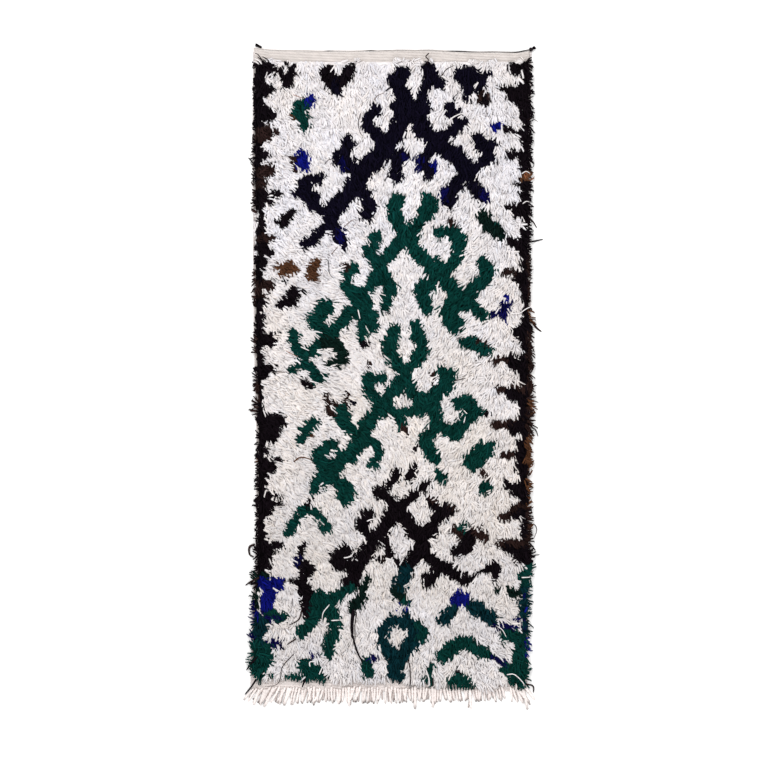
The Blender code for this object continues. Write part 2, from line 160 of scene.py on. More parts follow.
UPPER_GREEN_TREE = (
    ("green", 5.2, (49.4, 50.4), (47.6, 54.5), (49.2, 58.5), (52.2, 63)),
    ("green", 6.2, (59.4, 51.4), (60, 54)),
    ("green", 5.0, (59, 53), (57, 57.5), (54, 62)),
    ("green", 5.0, (50.2, 64.6), (47, 69)),
    ("green", 5.2, (46.4, 68.5), (43.8, 73), (41.6, 78)),
    ("green", 5.0, (54, 65), (56.6, 70), (61, 74)),
    ("green", 3.8, (42.2, 62.4), (41.2, 65.4), (39.4, 68), (41.8, 71.2)),
    ("green", 4.6, (63, 61.8), (67, 60.6), (69.7, 63), (69.6, 67), (67.4, 72), (64, 75.2)),
    ("green", 2.0, (64, 62), (67.5, 64)),
    ("umber", 1.8, (66.5, 57.8), (67.5, 58.5)),
    ("green", 4.0, (43.8, 74), (46.2, 78.5), (47.6, 81)),
    ("green", 4.6, (61.6, 74.5), (59.6, 80)),
    ("green", 4.2, (46.8, 80.5), (45, 86)),
    ("green", 5.6, (57.3, 80), (57.8, 84)),
    ("green", 4.0, (57.8, 84), (59.3, 88)),
    ("green", 3.6, (34, 81.5), (40, 81)),
    ("green", 7.6, (37, 83), (37, 87)),
    ("green", 3.8, (35.2, 73.8), (32.5, 75.5), (32, 79), (34.5, 82.5)),
    ("umber", 1.8, (31.7, 72.5), (32, 74)),
    ("green", 5.2, (33.5, 88.5), (30, 92), (26, 96)),
    ("green", 6.2, (25.3, 86.5), (21.8, 91)),
    ("green", 3.4, (22.3, 92.8), (25, 94.5)),
    ("green", 1.8, (27.5, 85), (28.2, 86.5)),
    ("green", 3.8, (39.8, 87), (41, 91), (41.2, 93.6)),
    ("green", 3.6, (39, 90), (37.8, 94), (37.3, 97)),
    ("black", 1.8, (36.3, 98.5), (38.7, 99)),
    ("green", 1.2, (41, 92), (42.8, 92)),
    ("green", 4.4, (14.2, 96), (15.8, 99.5), (18.5, 103)),
    ("green", 5.4, (25.5, 96), (22.5, 100), (19, 103.5)),
    ("pine", 4.6, (25, 98.6), (30, 99.6), (30.8, 103.4)),
    ("pine", 3.2, (29.6, 104.6), (26, 105.3)),
    ("green", 4.4, (18.5, 104.5), (21.5, 107.5), (23, 109.5)),
    ("green", 3.0, (19, 105.5), (14.2, 106.4), (13.8, 108)),
    ("ivory", 2.2, (24.6, 101.4), (27.4, 102.4)),
    ("ivory", 2.2, (21.8, 103.8), (24.5, 107)),
    ("black", 2.0, (17.5, 111), (20.5, 112.8)),
    ("green", 6.0, (61.5, 73), (64.5, 77), (68, 81), (71.5, 85)),
    ("green", 5.2, (72.8, 81.6), (77, 78.2), (79.8, 74.4), (78, 72.2)),
    ("green", 6.8, (69.2, 84.5), (66, 88.4), (68.2, 92)),
    ("green", 4.6, (72.5, 84), (75.3, 87), (77.5, 89.6)),
    ("pine", 4.6, (77.8, 56.5), (79.3, 59), (83.6, 62.6)),
    ("green", 1.8, (82.5, 58.7)),
    ("brown", 4.4, (10.8, 73.5), (14, 73.5)),
    ("brown", 4.4, (22.2, 72), (20.6, 75.4)),
    ("black", 3.8, (14.4, 81.6), (14, 84.8)),
    ("black", 3.2, (13.2, 84.4), (10.4, 85.4)),
    ("black", 0.9, (14.5, 79.6), (19.3, 82)),
    ("black", 1.1, (15.3, 81.3), (17, 82.8)),
    ("black", 1.3, (11.7, 78.3)),
    ("indigo", 4.0, (85.4, 86.4), (84.2, 88.3)),
    ("indigo", 1.9, (83, 88.7), (81, 89.2)),
    ("blue", 1.3, (85.9, 82.5), (85.5, 84.6)),
    ("blue", 1.3, (84.8, 90.4), (84.9, 91.4)),
    ("green", 4.2, (71.2, 98.2), (73.6, 98.4)),
    ("green", 4.0, (75.6, 100.4), (78.6, 101.2)),
    ("umber", 1.6, (76.2, 98), (78, 98.6)),
    ("black", 1.3, (76.3, 103.4)),
    ("black", 1.5, (46, 88.2), (46.3, 88.8)),
    ("umber", 1.4, (40, 105.4), (41, 106.5)),
)
LOWER_GREEN_TREE = (
    ("green", 5.0, (48.5, 94), (46, 99.5), (48.5, 105), (51.3, 108.5)),
    ("green", 4.8, (55.2, 93.2), (56.4, 97), (57.4, 100.4), (55, 105)),
    ("green", 5.4, (51.2, 109), (50.2, 112), (46.6, 116), (43, 120.5), (39.4, 125.3)),
    ("green", 5.6, (39.8, 125.3), (37, 129.5)),
    ("green", 4.8, (52, 107.5), (52, 110.5), (54.4, 115), (57.5, 118.7)),
    ("green", 7.6, (57.8, 118.8), (59, 118.8)),
    ("green", 4.0, (44, 110), (40.6, 110.4), (39, 113.4), (42.5, 117)),
    ("green", 4.0, (64, 107.6), (65.8, 108.6)),
    ("green", 5.8, (66.2, 109.2), (65.2, 112.5), (61.2, 116.3)),
    ("umber", 1.4, (61, 108.5), (60.6, 112.5)),
    ("green", 4.4, (46, 121.5), (52, 121.8), (58, 120.5)),
    ("green", 3.4, (49.5, 123), (51, 126)),
    ("umber", 2.0, (51.4, 127), (52.6, 128.8)),
    ("green", 4.6, (30.8, 120.8), (31, 124), (34.2, 127.4), (37, 130)),
    ("umber", 2.4, (26, 115.4), (26.4, 119), (27.2, 123)),
    ("umber", 1.8, (28, 118.2), (29.5, 118.6)),
    ("umber", 2.0, (33, 115.3), (32.2, 117.5)),
    ("navy", 1.0, (32.8, 118.7), (34.6, 119.2)),
    ("green", 6.0, (37, 131), (33.4, 135.2), (28, 139.4), (24.2, 143.5)),
    ("green", 4.4, (28, 132.2), (24.4, 133.6), (22.4, 136.6), (24.6, 139.6)),
    ("ivory", 1.5, (27.6, 134.9), (27.3, 136.2)),
    ("green", 3.4, (39.6, 130.4), (42.6, 133), (42.8, 136.4), (40.6, 139)),
    ("umber", 1.2, (35.8, 134.8)),
    ("green", 3.2, (24, 143), (21.7, 145), (22.3, 148)),
    ("green", 4.0, (26, 143), (30, 144.6)),
    ("green", 6.2, (32, 146.4), (31.8, 149.4)),
    ("green", 4.6, (61, 119.5), (62, 124), (60.8, 127.5), (58, 130.5)),
    ("green", 4.4, (58, 131.6), (59.7, 134.3), (61.8, 137.2)),
    ("black", 1.0, (55.2, 133.6), (57, 133.2)),
    ("green", 5.0, (62.5, 125.5), (66, 127.5), (68, 129.5)),
    ("green", 5.2, (69.5, 118.7), (72.2, 118), (74.3, 121), (72.2, 124.5), (68.5, 128)),
    ("green", 2.8, (68.3, 130.8)),
    ("green", 2.4, (75, 121), (78, 122.3)),
    ("black", 1.1, (78.5, 122.6), (79.5, 122)),
    ("green", 6.8, (77.2, 134.4), (75.2, 136.8), (74, 138.2)),
    ("green", 2.8, (78.6, 132.6), (81, 132.2)),
    ("green", 3.8, (21.6, 124.4), (19.5, 126.5), (18.2, 129), (17, 130.6)),
    ("brown", 0.9, (20, 128.8), (21.6, 129.8)),
    ("green", 3.6, (63, 142), (64.5, 143.5)),
    ("umber", 1.6, (77.8, 142), (79.3, 143.7)),
    ("green", 4.4, (78.3, 146.6)),
    ("green", 3.6, (17.3, 155.3), (14.8, 158.3), (13, 161)),
    ("green", 4.4, (17.6, 154.2), (21, 154.2)),
    ("green", 3.2, (20.5, 153.8), (24.3, 157.2)),
    ("green", 3.2, (23.8, 160.2), (26.6, 160.4)),
    ("black", 1.2, (20.3, 150.5), (19.3, 152.5)),
)
BLACK_TREE = (
    ("black", 4.4, (43, 148), (46.6, 150.6), (50, 154)),
    ("black", 3.6, (59, 145.4), (55.6, 148), (51.6, 152)),
    ("black", 3.0, (54.2, 140), (53, 144)),
    ("black", 3.8, (48.8, 142.6), (46.4, 145.6)),
    ("black", 4.4, (47.5, 156), (51.5, 156.3)),
    ("black", 5.2, (47, 156), (44, 161.4), (40.6, 165.6), (36.6, 171), (34.8, 176), (33, 179)),
    ("black", 3.0, (44.6, 164), (46.6, 168), (49.6, 172)),
    ("ivory", 1.8, (42.6, 166.8), (43.2, 168.3)),
    ("black", 1.8, (40.6, 170.2), (45.4, 170.8)),
    ("black", 3.8, (40.3, 155.5), (36.8, 159), (39.8, 162.8)),
    ("black", 4.6, (32, 167.6), (29.4, 169.2), (29, 171.5)),
    ("black", 4.4, (31, 172.4), (34, 173.6)),
    ("black", 4.8, (52, 157), (55.2, 161.8), (57, 165), (55.3, 169), (52.5, 174)),
    ("black", 4.6, (61, 160.6), (58.6, 164.4)),
    ("teal", 5.2, (52, 174.5), (49.8, 179.5)),
    ("black", 3.4, (60.2, 151.5), (63.5, 153.3), (67, 153.8)),
    ("black", 1.4, (68, 154), (68, 156.5)),
    ("black", 4.0, (65.5, 154.5), (61.5, 157.5), (58.8, 161)),
    ("umber", 1.8, (60.2, 150.6), (62.4, 151.6)),
    ("umber", 1.9, (66.2, 153.0), (68.2, 154.0)),
    ("black", 5.0, (57.8, 168.4), (62.6, 172.4), (66, 174)),
    ("black", 3.6, (62, 173.5), (61, 176), (59, 179)),
    ("black", 3.8, (66.5, 174), (69.5, 177), (72, 177.3)),
    ("umber", 2.6, (68, 161), (70.5, 162.5)),
    ("umber", 3.0, (74.5, 161.5), (78.5, 163.5)),
    ("black", 4.6, (72.5, 163), (73.5, 165)),
    ("black", 3.8, (72.5, 166.5), (68.5, 168.3)),
    ("green", 2.6, (70, 159.8), (72, 159.3)),
    ("black", 3.8, (80, 173.8), (82, 173)),
    ("black", 1.6, (81.5, 175), (81.6, 178)),
    ("black", 1.8, (79.6, 174.4), (75.4, 175)),
    ("black", 3.0, (17.8, 166), (17.2, 168.2)),
    ("indigo", 2.4, (16.2, 170.8), (15.4, 172.8)),
    ("black", 4.0, (19.2, 172.6), (18.6, 176)),
    ("black", 1.6, (20, 173.5), (23.4, 175.2)),
    ("black", 1.6, (12, 178.3), (16, 177.8)),
    ("black", 5.0, (17.4, 179.5), (19, 184)),
    ("black", 2.8, (19.6, 184.5), (18.6, 188.5)),
    ("pine", 3.6, (38.8, 178), (37.2, 183), (34.8, 186.8)),
    ("umber", 2.0, (45, 171)),
)
FOOT_MOTIFS = (
    ("blue", 4.6, (3.5, 178.8), (10, 178.8)),
    ("blue", 4.6, (6.6, 181), (5.6, 185.6)),
    ("pine", 3.0, (2, 181), (1.8, 186)),
    ("pine", 1.6, (1.5, 176), (6.5, 176)),
    ("green", 4.2, (2.5, 189.6), (10.6, 190)),
    ("indigo", 2.2, (1, 187.6), (5, 190)),
    ("teal", 6.2, (2.4, 191.3), (3, 194)),
    ("teal", 2.4, (4, 191.8), (6.8, 191.8)),
    ("teal", 5.4, (2, 195), (1.8, 199)),
    ("green", 5.0, (1, 199), (1, 206)),
    ("indigo", 1.9, (8.3, 190.7), (10.6, 189.9)),
    ("indigo", 2.4, (5.5, 199.2), (10, 198.6)),
    ("green", 6.6, (4.6, 202), (3.8, 205.6)),
    ("green", 5.0, (2.6, 207), (1.6, 211.4)),
    ("green", 2.2, (1.8, 212), (-0.5, 215)),
    ("indigo", 3.2, (-0.9, 186), (-0.7, 198)),
    ("blue", 0.9, (2.2, 188), (3.2, 191.5)),
    ("green", 0.9, (5, 209.5), (7, 209.3)),
    ("green", 6.4, (23.6, 184.3), (22.5, 188.3)),
    ("green", 4.8, (21.3, 190.3), (17.4, 194.8)),
    ("green", 3.4, (27, 185.5), (28, 190)),
    ("green", 4.2, (28.2, 192), (27.8, 197)),
    ("green", 4.8, (26.7, 198.3), (26.4, 201)),
    ("green", 3.6, (26, 185), (29.6, 182.8), (33.4, 180.4)),
    ("green", 4.8, (18, 206), (21.2, 207)),
    ("green", 2.8, (12.8, 210.2), (17.5, 209.2)),
    ("green", 3.2, (19.4, 209.9), (24.3, 210.1)),
    ("green", 2.4, (22.5, 207.3), (23.5, 207.5)),
    ("indigo", 1.6, (22.8, 201.3), (20.5, 203.6)),
    ("green", 5.0, (39.3, 205.6), (39.2, 208.4)),
    ("indigo", 2.2, (40.3, 203), (41.3, 203.3)),
    ("teal", 4.4, (48, 190.8), (43.4, 194.2), (44.6, 198.6), (48, 203.2)),
    ("teal", 5.6, (51.6, 191), (55.6, 195.2), (53, 200), (49.8, 203.6)),
    ("teal", 6.0, (48.8, 205), (48.2, 209.6)),
    ("green", 1.2, (48.5, 211), (48.7, 213)),
    ("green", 3.2, (56.5, 192.5), (58.6, 194.8), (57, 197.3)),
    ("blue", 1.0, (50.8, 184.8), (49.2, 188.4)),
    ("blue", 1.1, (53.3, 184.5), (51.8, 188)),
    ("pine", 3.4, (47.8, 181), (50.8, 182.8)),
    ("green", 1.6, (51, 184), (53.5, 184.6)),
    ("blue", 4.4, (70, 183), (71.6, 183.6)),
    ("blue", 3.4, (68.4, 186), (69.2, 185.6)),
    ("teal", 4.6, (67.2, 188), (64, 190.6)),
    ("teal", 4.8, (74, 186.3), (78.3, 189), (80.6, 190.8)),
    ("green", 5.0, (71, 198), (67.3, 200.2), (64.6, 202.8)),
    ("green", 4.4, (72, 198), (76, 200.8), (79.2, 202.6)),
    ("indigo", 1.6, (80.5, 203.8), (84.5, 204.8)),
    ("green", 4.6, (70.3, 210), (67.4, 212)),
    ("green", 4.0, (71.5, 211), (73, 213)),
    ("black", 0.9, (69.3, 207.3), (70.3, 209)),
    ("green", 2.2, (59, 206.6), (60.8, 205.6)),
    ("green", 1.4, (57.9, 209.8), (58.5, 211.5)),
    ("green", 1.3, (59.8, 208), (61, 213)),
    ("indigo", 1.5, (82, 193), (84.5, 193.3)),
)
LEFT_BORDER = (
    ("black", 5.6, (2.0, 5), (2.0, 51.5)),
    ("black", 2.4, (4.2, 53), (4.2, 62)),
    ("black", 3.4, (3.8, 62), (3.6, 72)),
    ("black", 5.6, (2.0, 72), (2.2, 86)),
    ("black", 3.2, (3.0, 85), (3.0, 96)),
    ("black", 5.0, (2.4, 96), (2.4, 131)),
    ("black", 6.4, (2.5, 131), (2.5, 164)),
    ("black", 7.0, (2.6, 165), (2.6, 177)),
    ("black", 4.0, (2, 7), (7, 7)),
    ("black", 2.0, (8, 7), (12.5, 9.8)),
    ("black", 1.0, (3, 3), (5, 6)),
    ("black", 3.6, (2.5, 11.2), (6.2, 14.4)),
    ("black", 4.4, (3, 22), (6.8, 22.4)),
    ("umber", 5.0, (3.6, 28.6), (6, 28.4)),
    ("umber", 1.6, (6, 27.8), (9, 28.2)),
    ("black", 3.4, (3, 36), (5, 36)),
    ("umber", 4.0, (3.4, 41.6), (6.8, 40.8)),
    ("umber", 3.6, (2.4, 45.4), (4.6, 45.4)),
    ("black", 2.4, (3, 48.4), (9.6, 48.9)),
    ("black", 2.4, (3, 51), (7, 51)),
    ("umber", 2.2, (4, 63.2), (9, 63.4)),
    ("black", 3.6, (3.4, 67), (6.2, 68)),
    ("umber", 4.2, (3, 79.6), (6.4, 79.4)),
    ("umber", 2.0, (3, 82.8), (4.6, 82.8)),
    ("black", 4.8, (3, 97.4), (6.8, 97.4)),
    ("black", 1.0, (6, 95.8), (9.2, 95.5)),
    ("umber", 2.0, (1.6, 101), (1.8, 106)),
    ("black", 4.0, (3, 107.5), (7, 107.2)),
    ("black", 2.0, (2, 109.8), (5.4, 109.6)),
    ("umber", 2.2, (2, 112), (2.2, 117)),
    ("black", 4.0, (4.5, 124), (10.2, 124.2)),
    ("black", 1.2, (9, 122.8), (12, 123.2)),
    ("black", 2.0, (9, 124.6), (11, 125.5)),
    ("black", 7.0, (4.6, 128), (6.8, 128.6)),
    ("black", 1.9, (5, 137.4), (10, 137.6)),
    ("black", 3.6, (4, 139.4), (7.4, 139.6)),
    ("black", 5.2, (3.6, 151.6), (5.8, 151.6)),
    ("black", 1.7, (6.5, 149.6), (9.4, 149.2)),
    ("black", 1.6, (7, 151.4), (10, 151.6)),
    ("black", 1.6, (4.6, 155.6), (7.4, 155.4)),
    ("black", 5.8, (4, 168.6), (5.4, 168.6)),
    ("black", 2.3, (6, 166.4), (10.4, 165.8)),
    ("black", 3.4, (4, 172.5), (5.6, 172.4)),
    ("umber", 3.4, (-0.4, 40), (-0.2, 54)),
    ("umber", 3.8, (-0.2, 74), (-0.2, 86)),
    ("umber", 3.8, (-0.4, 90), (-0.2, 112)),
    ("brown", 1.8, (-1.4, 100), (-1.2, 109)),
    ("umber", 4.4, (-0.4, 112), (-0.6, 124)),
    ("brown", 2.0, (-1.8, 115), (-1.6, 121)),
    ("umber", 3.2, (-0.4, 126), (-0.2, 146)),
    ("brown", 1.5, (-0.8, 134), (1.2, 137)),
    ("umber", 3.0, (-0.4, 152), (-0.2, 162)),
)
RIGHT_BORDER = (
    ("black", 6.4, (93.4, 6), (93.4, 56)),
    ("black", 4.6, (94.2, 56), (94.2, 62)),
    ("black", 4.8, (92.6, 62), (92.6, 79)),
    ("black", 5.0, (93.2, 79), (93.2, 92)),
    ("black", 6.0, (93.4, 92), (93.4, 99)),
    ("black", 4.6, (93.8, 99), (93.8, 104)),
    ("black", 4.8, (92.4, 104), (92.4, 132)),
    ("black", 4.6, (91, 132), (91, 142)),
    ("black", 3.8, (92.4, 142), (92.4, 153)),
    ("black", 4.0, (92.5, 153), (92.5, 171)),
    ("black", 3.8, (88.4, 7), (91, 7)),
    ("black", 1.8, (86.5, 3.8), (88, 5.2)),
    ("black", 2.4, (84, 13.8), (92, 14)),
    ("black", 5.0, (88, 16.4), (92, 17)),
    ("black", 3.0, (89.8, 19), (92, 19)),
    ("black", 2.4, (86, 27.3), (91, 28)),
    ("black", 2.8, (86.5, 36), (92, 35.3)),
    ("brown", 3.2, (91.8, 43.2), (93, 43.2)),
    ("rust", 1.5, (92.6, 42.8), (92.8, 43.6)),
    ("black", 1.9, (88, 45.8), (92, 45.6)),
    ("black", 3.0, (86.2, 53.6), (93, 53)),
    ("black", 3.4, (88.6, 55), (92, 55)),
    ("black", 3.0, (87, 64.8), (92, 65.5)),
    ("black", 4.0, (89.8, 67), (92, 68)),
    ("umber", 1.9, (84.5, 75), (90, 74.8)),
    ("black", 1.4, (90, 75.5), (92, 76)),
    ("black", 3.8, (89.8, 78), (92, 78.4)),
    ("black", 4.6, (89, 94.4), (92, 94.6)),
    ("black", 3.2, (89.8, 97), (92, 97.4)),
    ("umber", 2.6, (82, 104.2), (87, 104)),
    ("black", 1.6, (86, 103.2), (92, 103.4)),
    ("black", 4.4, (88, 106), (92, 107)),
    ("umber", 2.4, (83, 113.8), (91, 113)),
    ("black", 3.4, (86, 115.4), (92, 116.3)),
    ("black", 4.0, (89, 117.2), (92, 117.4)),
    ("black", 2.6, (89.4, 118.2), (92, 118.5)),
    ("umber", 2.6, (93.6, 119.5), (93.8, 122.5)),
    ("umber", 3.0, (82, 126), (87, 126)),
    ("umber", 1.4, (86.5, 124.7), (92, 124.3)),
    ("black", 4.4, (87.6, 126.8), (92.4, 127.2)),
    ("umber", 2.8, (84.2, 135.6), (88.6, 135.4)),
    ("black", 3.6, (90, 136), (90.4, 141)),
    ("black", 3.4, (86, 146), (91, 146.3)),
    ("black", 2.6, (88, 148.6), (91, 149)),
    ("umber", 3.0, (84, 156.4), (91, 154.6)),
    ("black", 3.4, (88.6, 155.8), (92, 155.4)),
    ("umber", 1.8, (86, 153.6), (91, 152.8)),
    ("black", 1.8, (88, 155.2), (91, 154.8)),
    ("black", 1.6, (89.5, 157.5), (91, 157.8)),
    ("umber", 2.5, (83, 165.6), (91, 165)),
    ("black", 2.8, (85, 167.2), (92, 168)),
    ("black", 4.0, (89, 168.6), (92.6, 168.8)),
    ("black", 2.4, (89, 170), (93, 170)),
    ("umber", 4.2, (94.8, 69.5), (95.0, 87)),
    ("brown", 1.8, (94.2, 82), (96.0, 83.5)),
    ("brown", 3.4, (94.6, 88.5), (96.0, 92)),
    ("umber", 4.2, (94.8, 95), (94.8, 130)),
    ("brown", 1.6, (95.2, 100), (95.2, 106)),
    ("brown", 1.8, (95.2, 112), (95.2, 115)),
    ("brown", 3.2, (94.8, 118.6), (95.8, 122)),
    ("brown", 4.2, (94.2, 131.5), (94.6, 143), (94.6, 153)),
    ("rust", 1.4, (95.2, 134), (95.4, 150)),
    ("umber", 4.4, (94.4, 154), (94.4, 165)),
    ("brown", 3.0, (95.2, 155), (95.2, 162)),
    ("green", 6.8, (93.6, 175.8), (93.6, 179)),
    ("pine", 0.9, (81.5, 181), (86.5, 180)),
    ("pine", 4.0, (87, 181.6), (92.5, 181.6)),
    ("teal", 7.4, (93.4, 183), (93.4, 192)),
    ("indigo", 1.3, (88.6, 190.6), (91, 191.2)),
    ("indigo", 1.4, (86, 192.7), (91.5, 193.3)),
    ("green", 4.8, (85.4, 195.6), (91, 197.4)),
    ("green", 8.4, (91.6, 200), (91.6, 203)),
    ("green", 5.6, (93, 198), (93, 212)),
    ("green", 4.6, (85.4, 207.4), (92, 207)),
    ("green", 3.4, (88.3, 210.3), (91.5, 210.8)),
    ("green", 2.0, (90, 212.3), (92, 212.4)),
    ("indigo", 3.4, (95.4, 187), (95.2, 204)),
    ("blue", 0.9, (92.6, 197), (92.8, 202)),
    ("blue", 0.9, (91, 182), (92, 187)),
    ("umber", 1.4, (92.4, 212.6), (94.6, 211.6)),
)
CHART = (
    LEFT_BORDER + RIGHT_BORDER + NAVY_TREE + TOP_PATCHES + UPPER_GREEN_TREE
    + LOWER_GREEN_TREE + BLACK_TREE + FOOT_MOTIFS
)
EDGE_WOBBLE = 0.245        # unevenness of a stroke's edge, in squares

# Loose yarns that lie on the pile or hang over its rim: dye, thickness, then squares of the chart
STRAY_YARNS = (
    ("black", 0.0042, (5, 5.8), (4, 4.2), (2.4, 3)),
    ("black", 0.0046, (6.8, 6), (5.8, 4), (4, 2.9)),
    ("black", 0.0030, (6, 5.8), (5, 4.4), (3.2, 3.3)),
    ("umber", 0.0030, (3.6, 3.4), (2.6, 2.2), (1.6, 1.8)),
    ("ivory", 0.0052, (4, 5.4), (2.8, 4.2), (1.3, 3.6)),
    ("ivory", 0.0046, (3, 5.4), (2, 4.8), (0.8, 4.6)),
    ("ivory", 0.0044, (65.5, 25), (68, 23), (71, 22), (73, 24)),
    ("ivory", 0.0034, (90.5, 42), (92, 41.2), (93.5, 42)),
    ("ivory", 0.0034, (90.8, 52), (92, 51.2), (93.2, 51.4)),
    ("ivory", 0.0042, (86, 88.5), (89.5, 88.5), (92, 87), (94.6, 85.8)),
    ("ivory", 0.0040, (90, 176.5), (94, 176.3)),
    ("ivory", 0.0040, (85, 209), (88, 208.7), (91, 211.5), (91.3, 213)),
    ("ivory", 0.0036, (26.5, 185.5), (24.5, 188), (24, 190.5)),
    ("ivory", 0.0046, (26.2, 88.8), (26.8, 92.6)),
    ("ivory", 0.0046, (36, 87.2), (36.7, 90.4)),
    ("ivory", 0.0044, (16, 98), (19.8, 99)),
    ("ivory", 0.0044, (16.9, 99.6), (19.8, 100.9)),
    ("ivory", 0.0044, (24.9, 100.6), (28, 101.9)),
    ("ivory", 0.0044, (19.8, 111), (23.3, 111.8)),
    ("ivory", 0.0036, (42.7, 113), (44.7, 114.5), (43.5, 116)),
    ("ivory", 0.0046, (18, 156.3), (19.5, 156), (21.5, 158.3)),
    ("ivory", 0.0044, (31, 170), (33.5, 169.4), (34.6, 168)),
    ("ivory", 0.0046, (38.8, 157.8), (40.2, 157.2), (41.6, 157)),
    ("ivory", 0.0046, (27, 190.8), (30, 190.6)),
    ("ivory", 0.0044, (20, 206.3), (20, 204.6), (22, 204.4)),
    ("ivory", 0.0044, (23, 208.8), (24.3, 206)),
    ("ivory", 0.0040, (71.2, 125), (71.8, 122.8)),
    ("ivory", 0.0036, (58.6, 207), (59.6, 210), (60, 213)),
    ("ivory", 0.0034, (81.8, 192.4), (84, 193.8), (85.5, 196.5)),
    ("brown", 0.0022, (41, 18), (42.5, 16), (45, 15)),
    ("umber", 0.0030, (63.8, 9.5), (65.5, 7.2), (68.3, 5.8)),
    ("umber", 0.0042, (59.6, 1.8), (58.6, 3), (59.4, 4), (59, 5.6)),
    ("umber", 0.0024, (37, 21.5), (36.1, 25), (36.8, 28.5), (38.8, 30.6)),
    ("umber", 0.0024, (24.7, 39), (26.5, 37.2), (28.5, 38)),
    ("rust", 0.0018, (14, 15.5), (18, 17)),
    ("brown", 0.0022, (31, 60), (34, 57.5), (36, 57.5)),
    ("brown", 0.0022, (27, 69), (29.5, 66)),
    ("black", 0.0022, (26, 70), (26.5, 75), (28, 77)),
    ("brown", 0.0046, (14.5, 138), (17, 136.4), (21, 137.3)),
    ("brown", 0.0024, (9, 108), (13, 108)),
    ("umber", 0.0032, (68, 111), (72, 110)),
    ("black", 0.0062, (92.6, 64.8), (98, 63.6)),
    ("umber", 0.0050, (93, 56.6), (94.6, 58), (95.8, 60)),
    ("umber", 0.0078, (93.6, 90.4), (95.4, 93), (97.4, 94.6)),
    ("black", 0.0041, (93, 117), (96.4, 118.2)),
    ("black", 0.0046, (94, 126.5), (95.4, 127.5), (96.2, 129.7)),
    ("umber", 0.0032, (93, 158.8), (95, 159), (95.7, 161), (94.5, 164)),
    ("black", 0.0041, (93, 169.5), (96.8, 169)),
    ("umber", 0.0024, (92, 24), (94.5, 23.6), (96.4, 24.4)),
    ("umber", 0.0027, (93, 37), (94.6, 38), (94.4, 39.6), (93, 39.8)),
    ("umber", 0.0076, (1.5, 165.5), (-0.3, 166.5), (-0.2, 169), (1.5, 169.7)),
    ("umber", 0.0070, (3, 176.5), (0.5, 177.8), (-1.8, 179.4)),
    ("black", 0.0074, (2.5, 203), (0.5, 205), (-1.4, 207.8)),
    ("black", 0.0066, (2, 210.5), (0.4, 213), (-2, 216)),
    ("black", 0.0043, (3, 35), (-0.2, 35.7)),
    ("black", 0.0043, (3, 43.8), (0.3, 44.4)),
    ("black", 0.0043, (3, 52), (0.7, 52.7)),
    ("black", 0.0125, (34.5, 187), (34, 192), (34.1, 197)),
    ("black", 0.0070, (34.2, 196), (35.7, 201), (37.8, 205.3)),
    ("umber", 0.0027, (35.8, 187), (35, 192), (35, 197)),
    ("umber", 0.0052, (17.3, 187.3), (16.3, 190.4), (12.9, 192.4)),
    ("umber", 0.0050, (15.3, 196.9), (12.2, 198.9)),
    ("umber", 0.0028, (15.3, 201.3), (10.9, 206), (10.2, 209.7), (8.8, 212.2), (3.7, 213.2)),
    ("black", 0.0066, (18.5, 210), (17.3, 213.3)),
    ("umber", 0.0040, (52.8, 203), (53.5, 210), (53, 216)),
    ("umber", 0.0040, (61, 210), (61, 216.5)),
    ("umber", 0.0060, (92, 212), (94.5, 213), (94.6, 215.3)),
    ("rust", 0.0019, (12, 101), (14, 102), (16, 103)),
)

# How the stray yarns lie: over the pile, and down to the floor past its edges
STRAY_HEIGHT = 0.0262
STRAY_FALL = 0.0215
STRAY_SLOPE = (0.006, 0.022)     # how far inside the edge it begins to fall, and over how far
STRAY_ROOTS = (0.008, 0.003)     # how deep its first two points are set in the pile
STRAY_TAPER = 0.4
STRAY_STEPS = 12

# How far the pile hangs over each side edge, in metres, by rows of the chart. Below nought the
# selvedge is bare.
LEFT_RIM = (
    (0, 0.003), (14, 0.003), (16, -0.003), (23, -0.003), (26, 0.004), (34, 0.006), (36, 0.016),
    (38, 0.006), (50, 0.007), (53, 0.013), (56, -0.004), (72, -0.004), (75, 0.008),
    (84, 0.007), (87, -0.005), (93, -0.005), (96, 0.020), (100, 0.012), (107, 0.024),
    (112, 0.014), (118, 0.030), (121, 0.026), (124, 0.004), (135, 0.008), (148, 0.008),
    (153, 0.024), (156, 0.008), (162, 0.009), (167, 0.026), (171, 0.010), (176, 0.026),
    (180, 0.020), (185, 0.012), (191, 0.018), (200, 0.024), (206, 0.026), (213, 0.030),
)
RIGHT_RIM = (
    (0, 0.006), (5, 0.012), (25, 0.016), (40, 0.012), (60, 0.014), (78, 0.008), (80, -0.003),
    (83, -0.003), (85, 0.010), (92, 0.026), (96, 0.020), (117, 0.020), (120, 0.028),
    (124, 0.020), (129, 0.028), (132, 0.012), (150, 0.018), (155, 0.026), (160, 0.020),
    (166, 0.026), (170, 0.022), (180, 0.016), (188, 0.024), (205, 0.024), (213, 0.014),
)

# Brightness of the wool down the rug and how warm it is, as (y, share) and (y, warmth), and
# what a step of warmth does to red, green and blue
BLEACH = ((-1.1, 0.90), (-0.6, 0.89), (-0.3, 0.94), (0.1, 0.95), (0.55, 0.995), (1.1, 0.97))
WARMTH = ((-1.1, -0.4), (-0.6, 1.2), (-0.3, 1.6), (0.1, 0.2), (0.55, -2.4), (1.1, -0.8))
WARM_STEP = (0.006, 0.0, -0.012)
WARM_CLOUDS = 1.8
BRIGHT_PATCHES = 0.035

